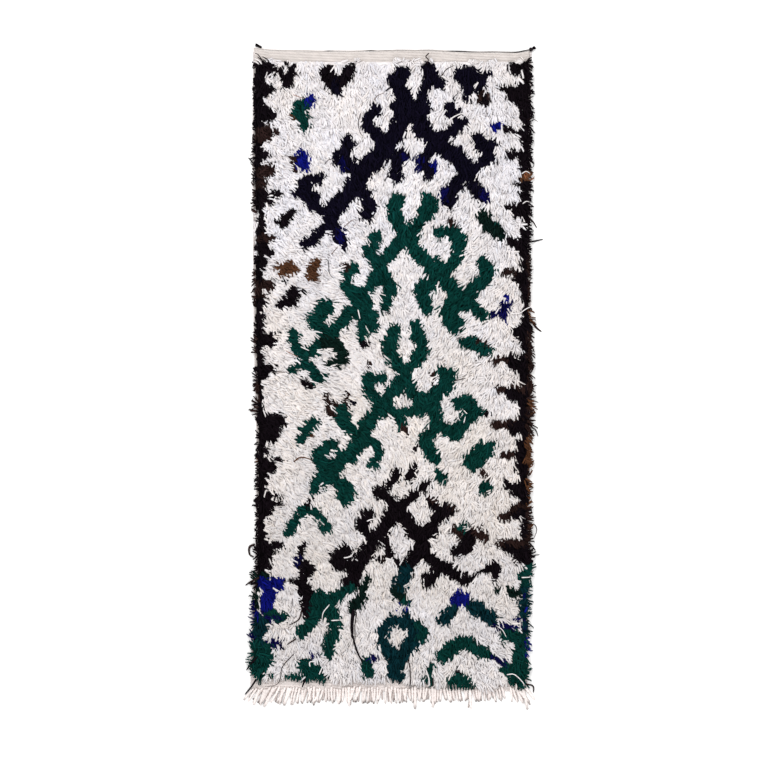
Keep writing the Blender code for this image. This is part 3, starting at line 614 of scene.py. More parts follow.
# Which way the locks lie: a place in squares, the way their tips point in degrees from +X
# towards +Y, and how far they stray from it
Lie = namedtuple("Lie", "column row degrees spread")
LIES = (
    Lie(0, 10, -70, 40), Lie(12, 8, -70, 25), Lie(40, 8, -90, 22), Lie(70, 8, -92, 22),
    Lie(88, 8, -85, 30), Lie(95, 10, -45, 45),
    Lie(0, 45, -60, 45), Lie(10, 45, -40, 25), Lie(30, 40, -72, 24), Lie(55, 40, -95, 24),
    Lie(80, 40, -105, 28), Lie(95, 45, -40, 45),
    Lie(0, 85, -50, 45), Lie(10, 85, -30, 18), Lie(26, 85, -24, 18), Lie(45, 85, -50, 22),
    Lie(62, 85, -125, 26), Lie(82, 85, -130, 26), Lie(95, 85, -35, 45),
    Lie(0, 125, -50, 45), Lie(10, 125, -30, 18), Lie(26, 125, -24, 18), Lie(46, 125, -50, 24),
    Lie(62, 125, -120, 28), Lie(82, 125, -120, 28), Lie(95, 125, -35, 45),
    Lie(0, 165, -60, 50), Lie(14, 165, -48, 34), Lie(40, 165, -75, 36), Lie(70, 165, -100, 36),
    Lie(95, 165, -45, 50),
    Lie(0, 205, -70, 50), Lie(25, 205, -80, 38), Lie(60, 205, -90, 38), Lie(95, 205, -60, 50),
)
LIE_REACH = 9.0            # squares over which one lie eases into the next,
LIE_STRETCH = 1.6          # and so many times as many down the rug
LIE_SCATTER = 0.62         # of single locks, against the spread in the table
LIE_LIMIT = 1.6

# Shag
PILE_TOP_Y = 1.052
PILE_WIDTH = 0.93
PILE_INSET = 0.0085
PILE_FOOT = ((-0.50, -1.036), (-0.05, -1.042), (0.15, -1.056), (0.30, -1.064), (0.50, -1.064))
KNOT_PITCH = 0.0148        # between neighbouring locks
KNOT_SCATTER = 0.16        # off their places, in pitches
STRANDS_IN_LOCK = 5
STRAND_LENGTH = 0.029
STRAND_LENGTH_SPREAD = 0.16
LENGTHS_IN_LOCK = (0.82, 1.12)           # least and most, against their lock's
STRAND_RADIUS = 0.0036
GIRTHS = (0.82, 1.15)                    # least and most
DYE_GIRTH = (1.04, 0.92)                 # of ivory strands and of dark ones
CREST_HEIGHT = 0.0205      # of a strand that bends over, above the floor
CREST_SPREAD = 0.0036      # from lock to lock
CREST_IN_LOCK = 0.0022     # from strand to strand
FLOOR_OF_PILE = 0.0034
LOCK_FAN = 13.0            # degrees between the strands of a lock
ROOT_PITCH = 0.0030        # between the strands of a lock
ROOT_SCATTER = 0.0016
DYE_READ = 0.6             # how far along a strand its place in the chart is read
LOCK_GATHER = 0.5          # how far a strand takes the dye of its lock, and not its own place's
LOCK_SHADES = 0.04         # unevenness from lock to lock
STRAND_SHADES = (0.030, 0.24)            # from strand to strand, ivory and dark
STRAND_WARMTH = (0.012, 0.0, -0.016)
# Painted shade along each strand: darkest at the root, where the pile around it shades it, and dark
# strands most
IVORY_PAINTED_SHADE = (0.94, 0.99, 1.0, 1.0)      # painted shade: brightness at the strand's root, bends and tip
DARK_PAINTED_SHADE = (0.50, 0.94, 1.0, 0.97)
RIM_DROOP = 0.024          # past the ground's edge, where a tip has sunk by RIM_SINK of its height
RIM_SINK = 0.6
STRAND_WAY = (0.0, 0.20, 0.86, 1.0)      # along the lie, at the strand's root, bends and tip
STRAND_RISE = (0.15, 0.90, 1.0, 0.86)    # its height there, as a share of its crest
STRAND_SWAY = (0.0, 0.0006, 0.0018, 0.0030)      # sideways
STRAND_GIRTH = (0.70, 1.0, 0.78)
TIP_RISE = (-0.28, 0.22)                 # how far a tip's share of the crest may be off
RIM_DEPTH = 0.017          # locks this near a side edge lean out over it, but for a few
RIM_SHARE = 0.72
RIM_DEGREES = 48.0         # how far they stray from straight out
RIM_REACH = (0.15, 1.1)    # least and most of the rim's overhang that a strand may take up
HEAD_SHARE = 0.35          # of the topmost locks that lie up over the heading
HEAD_CUT = 0.55            # how much shorter the topmost strands are that point that way
HEAD_WAVE = 0.0035         # unevenness of the line where the pile begins
BANDS = 6                  # the pile is as many pieces, one below the other

# Bed of knots under the shag
BED_STEP = 0.009
BED_HEIGHT = 0.0142
BED_LUMPS = 0.0022
BED_PAINTED_SHADE = (0.96, 0.45)   # painted shade in the gaps between the strands: the share of its ivory and of its dark dyes, against the strands

# Ground weave
GROUND_THICKNESS = 0.003
GROUND_STEPS = (60, 96)    # across and along
HEADING_DEPTH = 0.050
FOOT_DEPTH = 0.052
WEFT_PITCH = 0.0024
WEFT_RADIUS = 0.0017
WEFT_LIFT = 0.0006         # of its middle above the cloth
WEFT_WAVE = 0.0007         # over and under the warps
WEFT_STEPS = 200
WARP_PITCH = 0.0085
OVERCAST_PITCH = 0.0046
OVERCAST_STANDS = 0.0016   # out past the edge of the cloth
OVERCAST_REACH = 0.0075    # of a wrap over the cloth
OVERCAST_UNDER = 0.0055    # of a wrap below it
OVERCAST_RADIUS = 0.0016
OVERCAST_HEIGHT = 0.0023   # of a wrap's middle above the floor
OVERCAST_STEPS = 6

# Fringe
FRINGE_PITCH = 0.0098
FRINGE_LENGTH = 0.039
FRINGE_LENGTH_SPREAD = 0.006
FRINGE_START = 0.015       # they show this far inside the hem, over the cloth,
FRINGE_STARTS = (-0.009, 0.004)          # and this much less or more
FRINGE_RADIUS = 0.0029
FRINGE_STEPS = 11
FRINGE_TURNS = 3.0
FRINGE_BEND = 0.20         # of a strand along its way, in radians
FRINGE_SCATTER = 0.10      # of its lean, in radians
FRINGE_WEAR_FROM = 0.76    # how far along a strand its tip begins to darken
UNDER_START = 0.010        # how far inside the hem the thinner strands below these show
UNDER_RADIUS = 0.0024
UNDER_LENGTHS = (0.75, 0.98)             # least and most, against the strands above
STOUT_LENGTH = 0.05        # strands longer than this or right of STOUT_X are stouter
STOUT_X = 0.42
STOUT_GIRTH = 1.4

# How the strands lean along the hem in degrees, and their length against an ordinary one, both
# by x. Then those with a length of their own, as (x, length), and the gaps, as (x, width).
FRINGE_LEAN = (
    (-0.480, -50.0), (-0.440, -34.0), (-0.380, -18.0), (-0.300, -10.0), (-0.160, -2.0),
    (0.060, 2.0), (0.240, 6.0), (0.380, 12.0), (0.430, 24.0), (0.470, 42.0),
)
FRINGE_REACH = (
    (-0.480, 1.15), (-0.440, 1.25), (-0.380, 1.30), (-0.300, 1.15), (-0.160, 1.00),
    (0.060, 1.00), (0.240, 0.90), (0.380, 0.85), (0.430, 1.20), (0.470, 1.00),
)
LONG_STRANDS = (
    (-0.405, 0.062), (-0.148, 0.052), (0.078, 0.062), (0.141, 0.056), (0.262, 0.060),
    (0.440, 0.066),
)
BARE_PLACES = ((-0.026, 0.014), (0.237, 0.012), (0.386, 0.022))

# Cord along the top edge
CORD_RADIUS = 0.0023
CORD_PITCH = 0.009
CORD_STEPS = 420
CORD_STANDS = 0.0011       # out from the edge of the cloth, and CORD_SWAY to and fro along it
CORD_SWAY = 0.0005
CORD_SHOWS = (               # how dark it is along the edge, as (x, share)
    (-0.45, 0.10), (-0.235, 0.10), (-0.215, 0.85), (-0.190, 0.15), (-0.100, 0.15),
    (-0.070, 0.80), (-0.045, 0.20), (-0.020, 0.70), (0.005, 0.25), (0.100, 0.30),
    (0.180, 0.30), (0.205, 1.00), (0.280, 1.00), (0.305, 0.60), (0.365, 0.60), (0.385, 1.00),
    (0.480, 1.00),
)

# The cord's tied ends: a brush of loose ends with turns of yarn round it
Knot = namedtuple("Knot", "node x y degrees length radius")
CORNER_KNOTS = (
    Knot("corner_knot_left", -0.4425, 1.1026, 156.0, 0.027, 0.0054),
    Knot("corner_knot_right", 0.4700, 1.0925, 28.0, 0.025, 0.0078),
)
BRUSH_ENDS = 14
BRUSH_STEPS = 9
WRAPS = 3
WRAP_STEPS = 40

# Floor and light
PAPER = (0.97, 0.97, 0.97, 1.0)
SKY = (1.0, 0.995, 0.99, 1.0)
SKY_STRENGTH = 0.84
Lamp = namedtuple("Lamp", "name place size watts")
LAMPS = (
    Lamp("key", (-1.6, 2.2, 4.6), 2.6, 150.0),
    Lamp("fill", (2.2, -1.6, 4.2), 3.0, 60.0),
)
FLOOR_REACH = 30.0
FLOOR_LEVEL = -0.0004

# Camera straight above, as the photograph was taken
LENS = 85.0
SENSOR = 36.0
CAMERA_PLACE = (-0.0255, -0.0442, 6.185)


def linear(colour):
    """Scene values of an sRGB colour."""
    share = np.asarray(colour, float) / 255.0
    return np.where(share <= 0.04045, share / 12.92, ((share + 0.055) / 1.055) ** 2.4)


def dye_colours(dyes):
    """Scene values of dyes given as indexes into DYE_NAMES."""
    return linear([DYES[name] for name in DYE_NAMES])[dyes]


def eased(rows, at):
    """Reads the second column of a short table at values of its first, easing between rows."""
    keys, values = np.array(rows, float).T
    at = np.clip(at, keys[0], keys[-1])
    lower = np.clip(np.searchsorted(keys, at) - 1, 0, len(keys) - 2)
    share = (at - keys[lower]) / (keys[lower + 1] - keys[lower])
    share = share * share * (3.0 - 2.0 * share)
    return values[lower] * (1.0 - share) + values[lower + 1] * share


def ground_place(across, along):
    """A place of the ground: shares of its width from the left and of its length from the hem."""
    level = HEM_Y + (TOP_EDGE[0][1] - HEM_Y) * along
    left, right = eased(LEFT_EDGE, level), eased(RIGHT_EDGE, level)
    x = left + (right - left) * across
    return x, HEM_Y + (eased(TOP_EDGE, x) - HEM_Y) * along


def past_edge(plan):
    """How far each place lies past the nearer side edge of the ground."""
    x, y = plan[..., 0], plan[..., 1]
    return np.maximum(eased(LEFT_EDGE, y) - x, x - eased(RIGHT_EDGE, y))


def unit(vectors):
    return vectors / np.linalg.norm(vectors, axis=-1, keepdims=True)


# Meshes made from arrays. uvs hold one place for each corner of each face.
Part = namedtuple("Part", "points loops sizes colours uvs")


def tubes(paths, radii, colours, sides=3, across=None, roll=None):
    """A closed tube along each path, pointed at its far end. Each has its own cell of the UV map."""
    count, steps = paths.shape[:2]
    tangents = unit(np.gradient(paths, axis=1))
    if across is None:
        across = unit(np.cross((0.0, 0.0, 1.0), tangents))
    upward = np.cross(tangents, across)
    turns = 2.0 * math.pi * np.arange(sides) / sides
    if roll is not None:
        turns = turns + roll[:, None, None]
    turns = np.broadcast_to(turns, (count, 1, sides))[..., None]
    rings = across[:, :-1, None] * np.cos(turns) + upward[:, :-1, None] * np.sin(turns)
    body = paths[:, :-1, None] + rings * radii[:, :, None, None]
    points = np.concatenate([body.reshape(count, -1, 3), paths[:, -1:]], axis=1)
    shades = np.concatenate([np.repeat(colours[:, :-1], sides, axis=1), colours[:, -1:]], axis=1)

    faces = [list(range(sides))[::-1]]
    turn = 2.0 * math.pi * np.arange(sides) / sides
    places = [(0.5 + 0.4 * math.cos(a), 0.07 + 0.05 * math.sin(a)) for a in turn]
    tip = (steps - 1) * sides
    for i in range(steps - 1):
        low, high = 0.15 + 0.85 * np.array([i, i + 1]) / (steps - 1)
        for j in range(sides):
            a, b = i * sides + j, i * sides + (j + 1) % sides
            left, right = j / sides, (j + 0.94) / sides
            if i < steps - 2:
                faces.append([a, b, b + sides, a + sides])
                places += [(left, low), (right, low), (right, high), (left, high)]
            else:
                faces.append([a, b, tip])
                places += [(left, low), (right, low), ((left + right) / 2.0, high)]
    loops = np.array([i for face in faces for i in face])
    loops = loops + (tip + 1) * np.arange(count)[:, None]
    sizes = np.tile([len(face) for face in faces], count)
    cells = math.ceil(math.sqrt(count))
    corner = np.stack([np.arange(count) % cells, np.arange(count) // cells], axis=-1)
    uvs = (corner[:, None] + 0.06 + 0.88 * np.array(places)) / cells
    return Part(points.reshape(-1, 3), loops.ravel(), sizes, shades.reshape(-1, 3),
                uvs.reshape(-1, 2))


def slab(grid, floor, colours):
    """A closed slab: a grid of upper points, upright sides and a flat underside."""
    rows, columns = grid.shape[:2]
    index = np.arange(rows * columns).reshape(rows, columns)
    upper = np.stack([index[:-1, :-1], index[:-1, 1:], index[1:, 1:], index[1:, :-1]], axis=-1)
    rim = np.concatenate([index[0, :-1], index[:-1, -1], index[-1, :0:-1], index[:0:-1, 0]])
    low = grid.reshape(-1, 3)[rim]
    low[:, 2] = floor
    under = rows * columns + np.arange(len(rim))
    sides = np.stack([rim, under, np.roll(under, -1), np.roll(rim, -1)], axis=-1)
    points = np.concatenate([grid.reshape(-1, 3), low])
    loops = np.concatenate([upper.ravel(), sides.ravel(), under[::-1]])
    sizes = [4] * (upper.size // 4 + len(rim)) + [len(rim)]
    shades = np.concatenate([colours.reshape(-1, 3), colours.reshape(-1, 3)[rim]])

    plan = points[:, :2] - points[:, :2].min(0)
    plan = plan / plan.max(0)
    step = np.arange(len(rim)) / len(rim)
    strip = np.stack([step, step, step + 0.9 / len(rim), step + 0.9 / len(rim)], axis=-1)
    strip = np.stack([strip, np.tile([0.95, 0.92, 0.92, 0.95], (len(rim), 1))], axis=-1)
    uvs = np.concatenate([
        plan[upper.ravel()] * (1.0, 0.90),
        strip.reshape(-1, 2),
        plan[under[::-1]] * (1.0, 0.03) + (0.0, 0.965),
    ])
    return Part(points, loops, np.array(sizes), shades, uvs)


def joined(parts):
    """Several parts as one. Each keeps its own column of the UV map."""
    first, columns, points = 0, len(parts), []
    loops, uvs = [], []
    for i, part in enumerate(parts):
        points.append(part.points)
        loops.append(part.loops + first)
        uvs.append((part.uvs * (0.98, 1.0) + (i, 0.0)) / (columns, 1.0))
        first += len(part.points)
    return Part(np.concatenate(points), np.concatenate(loops),
                np.concatenate([part.sizes for part in parts]),
                np.concatenate([part.colours for part in parts]), np.concatenate(uvs))


def add_piece(name, part, material, slot, *nodes):
    """Makes a part an object that rides on the rug and stands for the named CAD nodes."""
    mesh = bpy.data.meshes.new(name)
    mesh.vertices.add(len(part.points))
    mesh.vertices.foreach_set("co", part.points.astype(np.float32).ravel())
    mesh.loops.add(len(part.loops))
    mesh.loops.foreach_set("vertex_index", part.loops.astype(np.int32))
    mesh.polygons.add(len(part.sizes))
    starts = np.concatenate([[0], np.cumsum(part.sizes)[:-1]])
    mesh.polygons.foreach_set("loop_start", starts.astype(np.int32))
    mesh.update(calc_edges=True)
    colours = mesh.color_attributes.new("dye", "FLOAT_COLOR", "POINT")
    opaque = np.ones((len(part.colours), 1))
    colours.data.foreach_set("color", np.hstack([part.colours, opaque]).astype(np.float32).ravel())
    uv_map = mesh.uv_layers.new(name="OFBake")
    uv_map.uv.foreach_set("vector", part.uvs.astype(np.float32).ravel())
    mesh.shade_smooth()
    mesh.materials.append(material)
    piece = bpy.data.objects.new(name, mesh)
    bpy.context.scene.collection.objects.link(piece)
    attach(piece, "root")
    if nodes:
        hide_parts(*nodes)
    return piece


def wool_material(name, mottle, fibre_scale, fibre_height, roughness=0.92):
    """Dyed yarn: its colour from the piece's dye, mottled, with fine fibres as bump."""
    material = bpy.data.materials.new(name)
    material.use_nodes = True
    nodes, links = material.node_tree.nodes, material.node_tree.links
    shader = nodes["Principled BSDF"]
    shader.inputs["Roughness"].default_value = roughness
    shader.inputs["Specular IOR Level"].default_value = 0.04
    dye = nodes.new("ShaderNodeAttribute")
    dye.attribute_name = "dye"
    place = nodes.new("ShaderNodeTexCoord")
    spots = nodes.new("ShaderNodeTexNoise")
    spots.inputs["Scale"].default_value = 260.0
    spots.inputs["Detail"].default_value = 3.0
    shade = nodes.new("ShaderNodeMapRange")
    shade.inputs["To Min"].default_value = 1.0 - mottle
    shade.inputs["To Max"].default_value = 1.0 + mottle
    tint = nodes.new("ShaderNodeVectorMath")
    tint.operation = "SCALE"
    fibres = nodes.new("ShaderNodeTexNoise")
    fibres.inputs["Scale"].default_value = fibre_scale
    fibres.inputs["Detail"].default_value = 4.0
    fibres.inputs["Distortion"].default_value = 1.5
    bump = nodes.new("ShaderNodeBump")
    bump.inputs["Strength"].default_value = 0.6
    bump.inputs["Distance"].default_value = fibre_height
    links.new(place.outputs["Object"], spots.inputs["Vector"])
    links.new(place.outputs["Object"], fibres.inputs["Vector"])
    links.new(spots.outputs["Fac"], shade.inputs["Value"])
    links.new(dye.outputs["Color"], tint.inputs[0])
    links.new(shade.outputs["Result"], tint.inputs["Scale"])
    links.new(tint.outputs["Vector"], shader.inputs["Base Color"])
    links.new(fibres.outputs["Fac"], bump.inputs["Height"])
    links.new(bump.outputs["Normal"], shader.inputs["Normal"])
    return material


def to_chart(x, y):
    return (x - CHART_LEFT) / CHART_STEP, (CHART_TOP - y) / CHART_STEP


def from_chart(column, row):
    return CHART_LEFT + CHART_STEP * column, CHART_TOP - CHART_STEP * row


def dyes_at(x, y, wobble):
    """The chart's dye at each place, as an index into DYE_NAMES. wobble widens or narrows a stroke."""
    places = np.stack(to_chart(x, y), axis=-1)
    found = np.full(len(places), IVORY)
    for dye, width, *route in CHART:
        reach = np.maximum(width / 2.0 + wobble, 0.3)
        for start, end in zip(route, route[1:] or route):
            start, way = np.array(start, float), np.subtract(end, start)
            share = ((places - start) @ way) / max(way @ way, 1e-9)
            nearest = start + np.clip(share, 0.0, 1.0)[:, None] * way
            near = np.linalg.norm(places - nearest, axis=1) < reach
            found[near] = DYE_NAMES.index(dye)
    return found


def lies_at(x, y):
    """Heading of the locks at each place and its spread, in radians."""
    column, row = to_chart(x, y)
    table = np.array(LIES, float)
    away = (column[:, None] - table[:, 0]) ** 2 + ((row[:, None] - table[:, 1]) / LIE_STRETCH) ** 2
    weight = np.exp(-away / (2.0 * LIE_REACH ** 2)) + 1e-9
    heading = np.radians(table[:, 2])
    mean = np.arctan2(weight @ np.sin(heading), weight @ np.cos(heading))
    return mean, np.radians(weight @ table[:, 3] / weight.sum(1))


def lean_out(x, y, heading):
    """Turns most locks near a side edge outwards, and some of the topmost ones up."""
    topmost = y > PILE_TOP_Y - 0.7 * KNOT_PITCH
    for near, share, outwards in (
        (topmost, HEAD_SHARE, math.pi / 2.0),
        (np.abs(x - eased(LEFT_EDGE, y)) < RIM_DEPTH, RIM_SHARE, math.pi),
        (np.abs(x - eased(RIGHT_EDGE, y)) < RIM_DEPTH, RIM_SHARE, 0.0),
    ):
        chosen = near & (rng.random(len(x)) < share)
        stray = np.radians(RIM_DEGREES) * rng.normal(0.0, 1.0, len(x))
        heading = np.where(chosen, outwards + stray, heading)
    return heading


def kept_in(root, way, length):
    """Shortens the strands that would hang out further than the rim does beside them."""
    tip = root + way * length[:, None]
    row = to_chart(tip[:, 0], tip[:, 1])[1]
    share = rng.uniform(*RIM_REACH, len(tip))
    over = np.maximum.reduce([
        eased(LEFT_EDGE, tip[:, 1]) - eased(LEFT_RIM, row) * share - tip[:, 0],
        tip[:, 0] - eased(RIGHT_EDGE, tip[:, 1]) - eased(RIGHT_RIM, row) * share,
        np.zeros(len(tip)),
    ])
    rising = np.clip(way[:, 1], 0.0, 1.0) * (root[:, 1] > PILE_TOP_Y - KNOT_PITCH)
    kept = 1.0 - over / np.maximum(np.abs(way[:, 0]) * length, 1e-6)
    return length * np.clip(kept, 0.25, 1.0) * (1.0 - HEAD_CUT * rising)


def wool_tint(x, y):
    """Slow changes of the wool over the rug: brightness, then warm against cool."""
    patch = np.sin(17.0 * x + 3.0 * np.sin(5.0 * y)) * np.sin(11.0 * y + 2.0 * np.sin(9.0 * x))
    cloud = np.sin(13.0 * x - 9.0 * y + 2.0) * np.sin(19.0 * x + 7.0 * y + 2.0 * np.sin(8.0 * y))
    warm = eased(WARMTH, y) + WARM_CLOUDS * cloud
    bright = eased(BLEACH, y) * (1.0 + BRIGHT_PATCHES * patch)
    return bright[:, None] * (1.0 + warm[:, None] * np.array(WARM_STEP))


def knot_places():
    """Where the locks are tied: staggered rows across the rug, a little uneven."""
    rows = int((PILE_TOP_Y - HEM_Y) / KNOT_PITCH)
    columns = int(PILE_WIDTH / KNOT_PITCH)
    column, row = np.meshgrid(np.arange(columns + 1), np.arange(rows))
    column = column + 0.5 * (row % 2) + rng.normal(0.0, KNOT_SCATTER, column.shape)
    across = column / (columns + 0.5)
    y = PILE_TOP_Y - (row + rng.normal(0.0, KNOT_SCATTER, row.shape)) * KNOT_PITCH
    y = np.minimum(y, PILE_TOP_Y).ravel()
    left = eased(LEFT_EDGE, y) + PILE_INSET
    right = eased(RIGHT_EDGE, y) - PILE_INSET
    x = left + (right - left) * np.clip(across.ravel(), 0.0, 1.0)
    y = y + HEAD_WAVE * (np.sin(41.0 * x) + 0.7 * np.sin(97.0 * x + 1.0)) - HEAD_WAVE
    tied = y > eased(PILE_FOOT, x)
    return x[tied], y[tied]


def strand_colours(dyes, lock_shade, tint):
    """Root, bend and tip colours of each strand: the unevenness of hand-dyed wool, and painted shade
    that darkens the root.
    """
    light = dyes == IVORY
    spread = np.where(light, *STRAND_SHADES)
    shade = lock_shade + spread * rng.normal(0.0, 1.0, len(dyes))
    warmth = rng.normal(0.0, 1.0, len(dyes))[:, None] * np.array(STRAND_WARMTH)
    colour = dye_colours(dyes) * np.clip(shade, 0.5, 1.9)[:, None] * (1.0 + warmth)
    colour = colour * tint
    # Painted shade along each strand, darkest at the root
    painted_shade = np.where(light[:, None], IVORY_PAINTED_SHADE, DARK_PAINTED_SHADE)
    return colour[:, None] * painted_shade[..., None]


def lay_strands(knot_x, knot_y):
    """Strands that rise from their knot, bend over and lie across the next rows.

    Each has its lock's number and shade, the place that its dye is read at, and its path.
    """
    heading, spread = lies_at(knot_x, knot_y)
    scatter = np.clip(rng.normal(0.0, LIE_SCATTER, len(heading)), -LIE_LIMIT, LIE_LIMIT)
    heading = lean_out(knot_x, knot_y, heading + spread * scatter)
    lock_length = STRAND_LENGTH * (1.0 + STRAND_LENGTH_SPREAD * rng.normal(0.0, 1.0, len(heading)))
    lock_crest = CREST_HEIGHT + CREST_SPREAD * rng.uniform(-1.0, 1.0, len(heading))
    lock_shade = 1.0 + LOCK_SHADES * rng.normal(0.0, 1.0, len(heading))

    count = len(knot_x) * STRANDS_IN_LOCK
    order = np.tile(np.arange(STRANDS_IN_LOCK) - (STRANDS_IN_LOCK - 1) / 2.0, len(knot_x))
    lock = np.repeat(np.arange(len(knot_x)), STRANDS_IN_LOCK)
    turn = heading[lock] + np.radians(LOCK_FAN) * (order + rng.normal(0.0, 0.5, count))
    crest = lock_crest[lock] + CREST_IN_LOCK * rng.uniform(-1.0, 1.0, count)
    way = np.stack([np.cos(turn), np.sin(turn)], axis=-1)
    side = np.stack([-way[:, 1], way[:, 0]], axis=-1)
    root = np.stack([knot_x, knot_y], axis=-1)[lock]
    root = root + side * (order * ROOT_PITCH)[:, None] + rng.normal(0.0, ROOT_SCATTER, (count, 2))
    length = kept_in(root, way, lock_length[lock] * rng.uniform(*LENGTHS_IN_LOCK, count))

    sway = rng.normal(0.0, 1.0, (count, 4)) * np.array(STRAND_SWAY)
    reach = length[:, None] * np.array(STRAND_WAY)
    plan = root[:, None] + way[:, None] * reach[..., None] + side[:, None] * sway[..., None]
    rise = np.array(STRAND_RISE) * np.ones((count, 1))
    rise[:, 3] += rng.uniform(*TIP_RISE, count)
    droop = 1.0 - RIM_SINK * np.clip(past_edge(plan) / RIM_DROOP, 0.0, 1.0)
    height = FLOOR_OF_PILE + (crest - FLOOR_OF_PILE)[:, None] * rise * droop
    paths = np.concatenate([plan, height[..., None]], axis=-1)
    return lock, lock_shade[lock], root + way * (DYE_READ * length)[:, None], paths


def make_shag(material):
    """The pile: locks of tapered strands, dyed by the chart, in bands down the rug."""
    knot_x, knot_y = knot_places()
    lock, shade, seen, paths = lay_strands(knot_x, knot_y)
    middle = np.zeros((len(knot_x), 2))
    np.add.at(middle, lock, seen / STRANDS_IN_LOCK)
    seen = seen + (middle[lock] - seen) * LOCK_GATHER
    wobble = EDGE_WOBBLE * rng.normal(0.0, 1.0, len(knot_x))[lock]
    dyes = dyes_at(seen[:, 0], seen[:, 1], wobble)
    colours = strand_colours(dyes, shade, wool_tint(seen[:, 0], seen[:, 1]))
    girth = STRAND_RADIUS * rng.uniform(*GIRTHS, len(lock)) * np.where(dyes == IVORY, *DYE_GIRTH)
    radii = girth[:, None] * np.array(STRAND_GIRTH)
    roll = rng.uniform(0.0, 2.0 * math.pi, len(lock))

    edges = np.linspace(PILE_TOP_Y + 0.02, HEM_Y - 0.02, BANDS + 1)
    pieces = []
    for i in range(BANDS):
        chosen = (knot_y[lock] <= edges[i]) & (knot_y[lock] > edges[i + 1])
        part = tubes(paths[chosen], radii[chosen], colours[chosen], roll=roll[chosen])
        pieces.append(add_piece(f"shag_band_{i + 1}", part, material, "pile_wool", "pile_shag"))
    return pieces


def make_bed(material):
    """The bed of knots that closes the gaps between the strands, in their dyes darkened as painted
    shade.
    """
    y = np.arange(PILE_TOP_Y, HEM_Y + 0.024, -BED_STEP)[::-1]
    share = np.linspace(0.0, 1.0, int(PILE_WIDTH / BED_STEP))
    left = eased(LEFT_EDGE, y) + PILE_INSET
    right = eased(RIGHT_EDGE, y) - PILE_INSET
    x = left[:, None] + (right - left)[:, None] * share
    y = np.broadcast_to(y[:, None], x.shape)
    y = np.maximum(y, eased(PILE_FOOT, x))
    z = BED_HEIGHT + rng.uniform(-BED_LUMPS, BED_LUMPS, x.shape)
    dyes = dyes_at(x.ravel(), y.ravel(), 0.0)
    # Painted shade: the bed's dyes are darkened as the gaps between the strands would be in shadow
    shade = np.where(dyes == IVORY, *BED_PAINTED_SHADE)
    grid = np.stack([x, y, z], axis=-1)
    colours = dye_colours(dyes) * shade[:, None]
    part = slab(grid, FLOOR_OF_PILE, colours.reshape(grid.shape))
    return add_piece("knot_bed", part, material, "pile_wool")


def plain(shape, colour, spread=0.0):
    """The same colour at every point, or one that varies a little from row to row."""
    shade = 1.0 + spread * rng.normal(0.0, 1.0, (shape[0], 1, 1))
    return linear(colour) * shade * np.ones((*shape, 1))


def mottled(x, y, colour):
    """The uneven cream of felted hand-spun wool at each place."""
    cloud = np.sin(61.0 * x + 4.0 * np.sin(47.0 * y)) * np.sin(90.0 * y + 3.0 * np.sin(38.0 * x))
    speck = np.sin(173.0 * x + 9.0 * np.sin(120.0 * y)) * np.sin(260.0 * y + 7.0 * np.sin(90.0 * x))
    shade = 0.98 + 0.055 * cloud + 0.045 * speck
    return linear(colour) * shade[..., None]


def wefts(first, last, wool):
    """Weft yarns side by side across the cloth, over and under its warps, between two shares."""
    length = (TOP_EDGE[0][1] - HEM_Y) * (last - first)
    along = np.linspace(first, last, int(length / WEFT_PITCH))[:, None]
    across = np.linspace(0.004, 0.996, WEFT_STEPS)[None, :]
    x, y = ground_place(across, along)
    row = np.arange(len(along))[:, None]
    phase = 2.0 * math.pi * x / WARP_PITCH + math.pi * row
    z = GROUND_THICKNESS + WEFT_LIFT + WEFT_WAVE * np.sin(phase)
    y = y + 0.0005 * np.sin(23.0 * x + 1.7 * row)
    paths = np.stack([x, y, z], axis=-1)
    radii = np.full((len(along), WEFT_STEPS - 1), WEFT_RADIUS)
    return tubes(paths, radii, mottled(x, y, wool), 4)


def overcast(edge, outwards):
    """Wraps of yarn over a side edge of the cloth."""
    y = np.arange(HEM_Y + 0.003, TOP_EDGE[1][1] - 0.002, OVERCAST_PITCH)
    y = y + rng.normal(0.0, 0.0003, len(y))
    x = eased(edge, y)
    turn = np.linspace(0.0, math.pi, OVERCAST_STEPS)
    reach = np.where(turn < math.pi / 2.0, OVERCAST_REACH, OVERCAST_UNDER)
    out = OVERCAST_STANDS - reach * (1.0 - np.sin(turn))
    paths = np.stack([
        x[:, None] + outwards * out,
        y[:, None] + 0.0016 * (turn / math.pi - 0.5),
        OVERCAST_HEIGHT + OVERCAST_HEIGHT * np.cos(turn) * np.ones((len(y), 1)),
    ], axis=-1)
    paths[..., 2] = np.maximum(paths[..., 2], OVERCAST_RADIUS)
    radii = np.full((len(y), OVERCAST_STEPS - 1), OVERCAST_RADIUS)
    across = np.broadcast_to((0.0, 1.0, 0.0), paths.shape)
    return tubes(paths, radii, plain(paths.shape[:2], SELVEDGE_WOOL, 0.05), 4, across)


def make_ground(material):
    """The cloth: a thin sheet with its weft yarns where they show, overcast down both sides."""
    across = np.linspace(0.0, 1.0, GROUND_STEPS[0])[None, :]
    along = np.linspace(0.0, 1.0, GROUND_STEPS[1])[:, None]
    x, y = ground_place(across, along)
    z = GROUND_THICKNESS + 0.0003 * np.sin(37.0 * x) * np.sin(29.0 * y)
    grid = np.stack([x, y, z], axis=-1)
    sheet = slab(grid, 0.0, plain(x.shape, HEADING_WOOL))
    length = TOP_EDGE[0][1] - HEM_Y
    parts = [
        sheet,
        wefts(1.0 - HEADING_DEPTH / length, 0.9992, HEADING_WOOL),
        wefts(0.0008, FOOT_DEPTH / length, FOOT_WOOL),
        overcast(LEFT_EDGE, -1.0),
        overcast(RIGHT_EDGE, 1.0),
    ]
    return add_piece("woven_ground", joined(parts), material, "ground_wool", "ground_weave")


